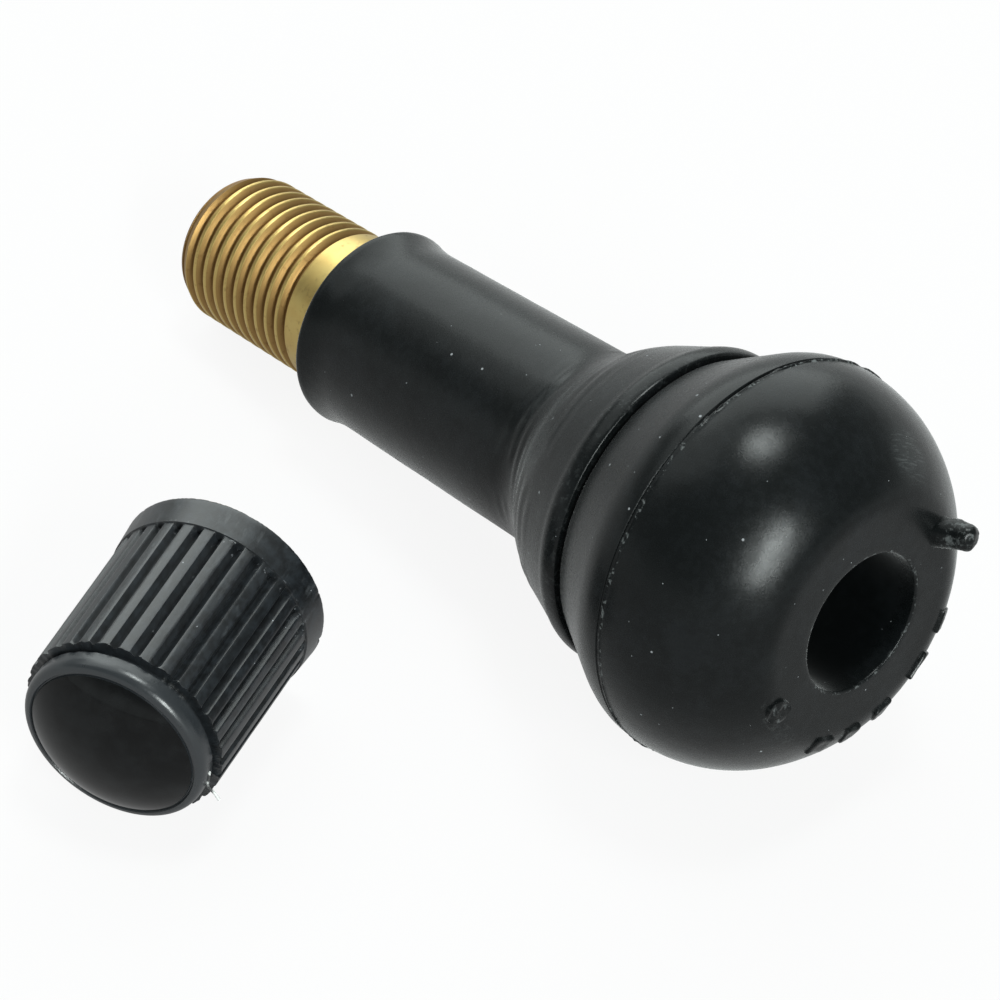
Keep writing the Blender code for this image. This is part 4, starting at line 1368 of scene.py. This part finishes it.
@dataclass
class DustCap:
    """The plastic cap: polished dome, bead, ribbed grip, plain rim and threaded cavity."""

    lying: Lying
    ribs: int = 30
    steps_per_rib: int = 16
    length: float = 11.6
    dome_radius: float = 3.68
    dome_length: float = 1.1
    dome_turn: float = 50.0
    notch: float = 0.1
    bead_radius: float = 4.20
    bead_round: float = 0.55
    bead_end: float = 0.3
    bead_rag: float = 0.03
    recess_radius: float = 4.0
    collar_end: float = 2.29
    rib_start: float = 2.26
    rib_start_radius: float = 4.53
    rib_end_radius: float = 4.65
    rib_depth: float = 0.24
    rib_gap: float = 0.32
    rib_vee: float = 0.7
    rib_lip: float = 0.14
    rib_stop: float = 0.05
    waviness: float = 0.014
    end_step: float = 0.006
    end_rag: float = 0.10
    rim_start: float = 10.0
    rim_step: float = 0.06
    rim_radius: float = 4.82
    rim_round: float = 0.2
    nick_depth: float = 0.07
    bore_radius: float = 3.44
    mouth_chamfer: float = 0.4
    cavity_depth: float = 9.0
    floor_cone: Point = (0.5, 0.6)
    pitch: float = 0.79375
    thread_depth: float = 7.2
    groove: Sequence[Point] = ((3.30, 0.33), (3.46, 0.28), (3.82, 0.07), (3.82, -0.07),
                               (3.46, -0.28), (3.30, -0.33))
    hair_angle: float = 93.0
    hair_lean: float = 87.0
    hair_height: float = 1.72
    hair_radius: float = 0.065
    hair_step: float = 0.12
    hair_turns: Sequence[float] = (1.0, 2.0, 2.0, 2.0, 2.0, 0.0, -12.0, -22.0, -20.0, -8.0,
                                   4.0, 8.0, 6.0, 2.0)

    def _outline(self) -> Outline:
        """The whole section, with the grip drawn at the ribs' crests."""
        full = math.radians(self.dome_turn)
        across = self.dome_radius / math.sin(full)
        along = self.dome_length / (1 - math.cos(full))

        def over_dome(share: float) -> Point:
            """A point on the cap's dome, by its share of the arc."""
            angle = full * share
            return across * math.sin(angle), along * (1 - math.cos(angle))

        edge = self.dome_length + self.notch
        outline = Outline(0.0, 0.0)
        outline.follow(over_dome, 26)
        outline.bend((self.dome_radius + 0.01, edge), (self.dome_radius + 0.06, edge), 3)
        outline.bend((self.dome_radius + self.notch, self.dome_length + 0.04),
                     (self.dome_radius + self.notch + 0.03, self.dome_length + 0.01), 2)
        outline.bend((self.bead_radius, self.dome_length + 0.05),
                     (self.bead_radius, self.dome_length + self.bead_round), 10)
        outline.line(self.bead_radius, self.collar_end - self.bead_end, 2)
        outline.line(self.recess_radius, self.collar_end - self.bead_end / 2, 2)
        outline.line(self.recess_radius, self.rib_start)
        outline.line(self.rib_start_radius, self.rib_start, 4)
        outline.line(self._crest(self.rib_start + self.rib_lip), self.rib_start + self.rib_lip, 3)
        end = self.rim_start - self.rib_stop
        outline.line(self._crest(end), end, 24)
        self._rim(outline)
        return outline

    def _rim(self, outline: Outline) -> None:
        """Go on over the plain rim and down the cavity to the axis."""
        floor = self.length - self.cavity_depth
        outline.line(self.rib_end_radius, self.rim_start)
        outline.line(self.rib_end_radius + self.rim_step, self.rim_start + 0.02, 2)
        outline.line(self.rim_radius, self.length - self.rim_round, 6)
        outline.bend((self.rim_radius, self.length),
                     (self.rim_radius - self.rim_round, self.length), 5)
        outline.line(self.bore_radius + self.mouth_chamfer, self.length, 3)
        outline.line(self.bore_radius, self.length - self.mouth_chamfer, 2)
        outline.line(self.bore_radius, floor + self.floor_cone[1], 6)
        outline.line(self.bore_radius - self.floor_cone[0], floor)
        outline.line(0.0, floor, 2)

    def _crest(self, height: float) -> float:
        """The ribs' crest radius at a height."""
        share = (height - self.rib_start) / (self.rim_start - self.rib_start)
        return self.rib_start_radius + share * (self.rib_end_radius - self.rib_start_radius)

    def _rib(self, angle: float) -> float:
        """How far below its crest a rib's side is at an angle, as a share of its depth."""
        pitch = math.tau / self.ribs
        off = abs((angle + pitch / 2) % pitch - pitch / 2) * self.rib_start_radius
        half = math.pi * self.rib_start_radius / self.ribs - self.rib_gap / 2
        if off >= half:
            return 1.0 + self.rib_vee * (off - half) / (self.rib_gap / 2)
        return 1.0 - (1.0 - (off / half) ** 7) ** 0.5

    def _press_rib(self, place: Vector, radius: float, angle: float, out: Vector) -> None:
        """Press one point of the grip down to its rib's side, with a ragged lip at the start.

        Args:
            place: The point, which is moved.
            radius: Its radius.
            angle: Its angle round the axis.
            out: The way outwards there.
        """
        crest = self._crest(place.z)
        lip = 1.0 - ease(place.z, self.rib_start, self.rib_start + self.rib_lip)
        lip *= 0.72 + 0.3 * noise.noise(out * 14.0)
        share = 1.0 - self._rib(angle)
        share += (1.0 - share) * lip
        part = min(1.0, (radius - self.recess_radius) / (crest - self.recess_radius))
        wave = -self.waviness * abs(
            noise.noise(out * 14.0 + Vector((0.0, 0.0, place.z * 0.5))))
        target = crest - self.rib_depth + (self.rib_depth + wave) * share
        target += (crest - target) * ease(place.z, self.rim_start - self.rib_stop, self.rim_start)
        place.xy = out.xy * (self.recess_radius + (target - self.recess_radius) * part)
        if place.z < self.rib_start + 0.01:
            place.xy -= out.xy * part * self.end_step
            place.z += part * self.end_rag * noise.noise(out * 18.0)

    def _shape_grip(self, bm: BMesh) -> None:
        """Press the ribs, their ragged ends and the rim's small nicks into the spun cap."""
        for vert in bm.verts:
            radius, angle = polar(vert.co)
            height = vert.co.z
            out = Vector((math.cos(angle), math.sin(angle), 0.0))
            if self.rib_start - 0.01 < height < self.rim_start + 0.01 and radius > 4.05:
                self._press_rib(vert.co, radius, angle, out)
            elif height > self.length - 0.3 and radius > 4.5:
                nick = ease(noise.noise(out * 7.5 + Vector((0.0, 0.0, 4.0))), 0.32, 0.5)
                vert.co.xy -= out.xy * self.nick_depth * nick
                vert.co.z -= 0.06 * nick + 0.05 * abs(noise.noise(out * 19.0))
            elif self.collar_end - 0.36 < height < self.rib_start and radius > 3.9:
                vert.co.xy += out.xy * self.bead_rag * noise.noise(
                    out * 13.0 + Vector((5.0, 0.0, 0.0)))

    def _flash_hair(self) -> BMesh:
        """A thin curl of flash that runs round the bead's edge and hangs off it."""
        bm = bmesh.new()
        bmesh.ops.create_circle(bm, cap_ends=True, radius=self.hair_radius, segments=8,
                                matrix=Matrix.Rotation(math.pi / 2, 4, "Y"))
        place, heading = Vector(), Vector((1.0, 0.0, 0.0))
        tip = list(bm.faces)
        for turn in self.hair_turns:
            grown = bmesh.ops.extrude_face_region(bm, geom=tip)["geom"]
            tip = [item for item in grown if isinstance(item, bmesh.types.BMFace)]
            verts = [item for item in grown if isinstance(item, bmesh.types.BMVert)]
            swing = Matrix.Rotation(math.radians(turn), 3, "Z")
            bmesh.ops.rotate(bm, verts=verts, cent=place, matrix=swing)
            heading.rotate(swing)
            bmesh.ops.translate(bm, verts=verts, vec=heading * self.hair_step)
            place += heading * self.hair_step
        bmesh.ops.recalc_face_normals(bm, faces=bm.faces)
        root = round_axis(self.hair_angle, self.bead_radius, self.hair_height)
        lean = Matrix.Rotation(math.radians(self.hair_lean), 4, "Z")
        bmesh.ops.transform(bm, matrix=root @ lean, verts=bm.verts)
        return bm

    def _number_faces(self, bm: BMesh, cap_faces: int) -> None:
        """Give the dome's faces the second material and the curl's faces the third."""
        for index, face in enumerate(bm.faces):
            centre = face.calc_center_median()
            on_dome = (centre.z < self.dome_length + 0.01
                       and polar(centre)[0] < self.dome_radius + 0.01)
            face.material_index = 2 if index >= cap_faces else int(on_dome)

    def build(self) -> bpy.types.Object:
        """Mould the cap, cut its thread and lay it in the frame."""
        bm = self._outline().spin(self.ribs * self.steps_per_rib, solid=True)
        self._shape_grip(bm)
        bmesh.ops.recalc_face_normals(bm, faces=bm.faces)
        turns = math.ceil((self.thread_depth + 0.3) / self.pitch)
        thread = Helix(self.groove, self.pitch, self.length - self.thread_depth, turns, 60)
        bm = joined(bm, thread.shape(), Join.CUT)
        cap_faces = len(bm.faces)
        bm = merged([bm, self._flash_hair()])
        self._number_faces(bm, cap_faces)
        materials = [SatinPlastic().build("cap_plastic", self.lying),
                     PolishedPlastic().build("cap_dome", self.lying),
                     FlashWithPaintedHighlight().build("cap_flash", self.lying)]
        return add_piece("ribbed_cap", bm, self.lying, Body.VALVE, materials,
                         "dust_cap", sharp=35.0)


# ---------------------------------------------------------------- studio


@dataclass(frozen=True)
class Softbox:
    """A rectangular lamp that faces the object."""

    name: str
    azimuth: float
    elevation: float
    distance: float
    width: float
    depth: float
    brightness: float
    roll: float = 0.0
    tint: Colour = (0.93, 1.0, 0.985)

    def build(self, target: Vector) -> None:
        """Hang the lamp. Its power follows from its size and its brightness."""
        azimuth, elevation = math.radians(self.azimuth), math.radians(self.elevation)
        way = Vector((math.cos(elevation) * math.cos(azimuth),
                      math.cos(elevation) * math.sin(azimuth), math.sin(elevation)))
        lamp = bpy.data.lights.new(self.name, "AREA")
        lamp.shape = "RECTANGLE"
        lamp.size = self.width
        lamp.size_y = self.depth
        lamp.color = self.tint
        lamp.energy = math.pi * self.width * self.depth * self.brightness
        light = linked(self.name, lamp)
        light.location = target + way * self.distance
        turn = (-way).to_track_quat("-Z", "Y").to_matrix()
        roll = Matrix.Rotation(math.radians(self.roll), 3, "Z")
        light.rotation_euler = (turn @ roll).to_euler()


@dataclass(frozen=True)
class Studio:
    """The pale floor, the soft lamps, the surroundings and the camera, which was fitted."""

    middle: Spatial = (0.004, 0.0, 0.006)
    eye: Spatial = (80.957, -74.514, 103.939)
    ahead: Spatial = (-0.52732, 0.53638, -0.65896)
    right: Spatial = (0.65459, 0.75091, 0.08741)
    lens: float = 120.08
    sensor: float = 36.0
    sight: Point = (0.001, 10.0)
    lamps: Sequence[Softbox] = (
        Softbox("overhead_softbox", 100.0, 82.0, 0.40, 0.10, 0.10, 23.0),
        Softbox("side_softbox", -18.0, 33.0, 0.35, 0.04, 0.17, 46.0, roll=-42.0),
        Softbox("back_softbox", 140.0, 38.0, 0.35, 0.38, 0.28, 2.6),
        Softbox("left_softbox", -160.0, 54.0, 0.35, 0.24, 0.24, 1.3))
    room_tint: Colour = (0.94, 1.0, 0.99)
    surround: float = 0.22
    horizon: float = 0.75
    horizon_band: Point = (0.08, 0.34)
    floor_reach: float = 3.0
    floor_grey: float = 0.6
    whiteness: float = 0.90
    mirrored: float = 0.8
    mirrored_grey: float = 0.5

    def _camera(self) -> None:
        """Stand the camera where the photograph was taken from."""
        data = bpy.data.cameras.new("camera")
        data.lens = self.lens
        data.sensor_width = self.sensor
        data.clip_start, data.clip_end = self.sight
        right = Vector(self.right).normalized()
        back = -Vector(self.ahead).normalized()
        turn = Matrix((right, back.cross(right), back)).transposed().to_4x4()
        camera = linked("camera", data)
        camera.matrix_world = Matrix.Translation(Vector(self.eye) * METRES) @ turn
        bpy.context.scene.camera = camera

    def _floor(self) -> None:
        """Lay a wide floor: white to the camera, grey in mirrored light, a plain paint else."""
        bm = bmesh.new()
        bmesh.ops.create_grid(bm, x_segments=1, y_segments=1, size=self.floor_reach)
        mesh = as_mesh("floor", bm)
        material = bpy.data.materials.new("white_floor")
        material.use_nodes = True
        nodes = Nodes(material.node_tree)
        paint = nodes.add("ShaderNodeBsdfDiffuse", {}, {
            "Color": (self.floor_grey,) * 3})["BSDF"]
        path = nodes.add("ShaderNodeLightPath")
        glossy = path["Is Glossy Ray"]
        white = nodes.mix(glossy, (1.0, 1.0, 1.0), (self.mirrored_grey,) * 3)
        glow = nodes.add("ShaderNodeEmission", {}, {"Color": white, "Strength": 1.0})["Emission"]
        seen = (path["Is Camera Ray"] + path["Is Transmission Ray"]) * self.whiteness
        mixed = nodes.add("ShaderNodeMixShader", {}, {
            0: seen + glossy * self.mirrored, 1: paint, 2: glow})["Shader"]
        nodes.add("ShaderNodeOutputMaterial", {}, {"Surface": mixed})
        mesh.materials.append(material)
        linked("floor", mesh)

    def _surroundings(self) -> None:
        """Give the room a soft even light that is paler low down, as by a white backdrop."""
        world = bpy.data.worlds.new("room")
        world.use_nodes = True
        nodes = Nodes(world.node_tree)
        way = nodes.add("ShaderNodeTexCoord")["Generated"]
        rise = nodes.add("ShaderNodeSeparateXYZ", {}, {0: way})["Z"]
        strength = (rise.fall(*self.horizon_band) * (self.horizon - self.surround)
                    + self.surround)
        room = nodes.add("ShaderNodeBackground", {}, {
            "Color": self.room_tint, "Strength": strength})["Background"]
        nodes.add("ShaderNodeOutputWorld", {}, {"Surface": room})
        bpy.context.scene.world = world

    def build(self) -> None:
        """Set up the whole studio."""
        self._camera()
        self._floor()
        self._surroundings()
        for lamp in self.lamps:
            lamp.build(Vector(self.middle))
            LOG.info("%s at %.0f, %.0f degrees", lamp.name, lamp.azimuth, lamp.elevation)
        bpy.context.scene.view_settings.view_transform = "Standard"


def main() -> None:
    """Load the frame and build every class in order."""
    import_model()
    valve = Lying(20.57, 9.07, low=(9.38, 6.06), high=(3.8, 41.6))
    cap = Lying(3.96, -17.71, low=(4.53, 2.26), high=(4.82, 11.4), heading=-63.8)
    RubberMoulding(valve).build()
    ThreadedStem(valve).build()
    ScrewCore(valve).build()
    DustCap(cap).build()
    Studio().build()


if __name__ == "__main__":
    main()
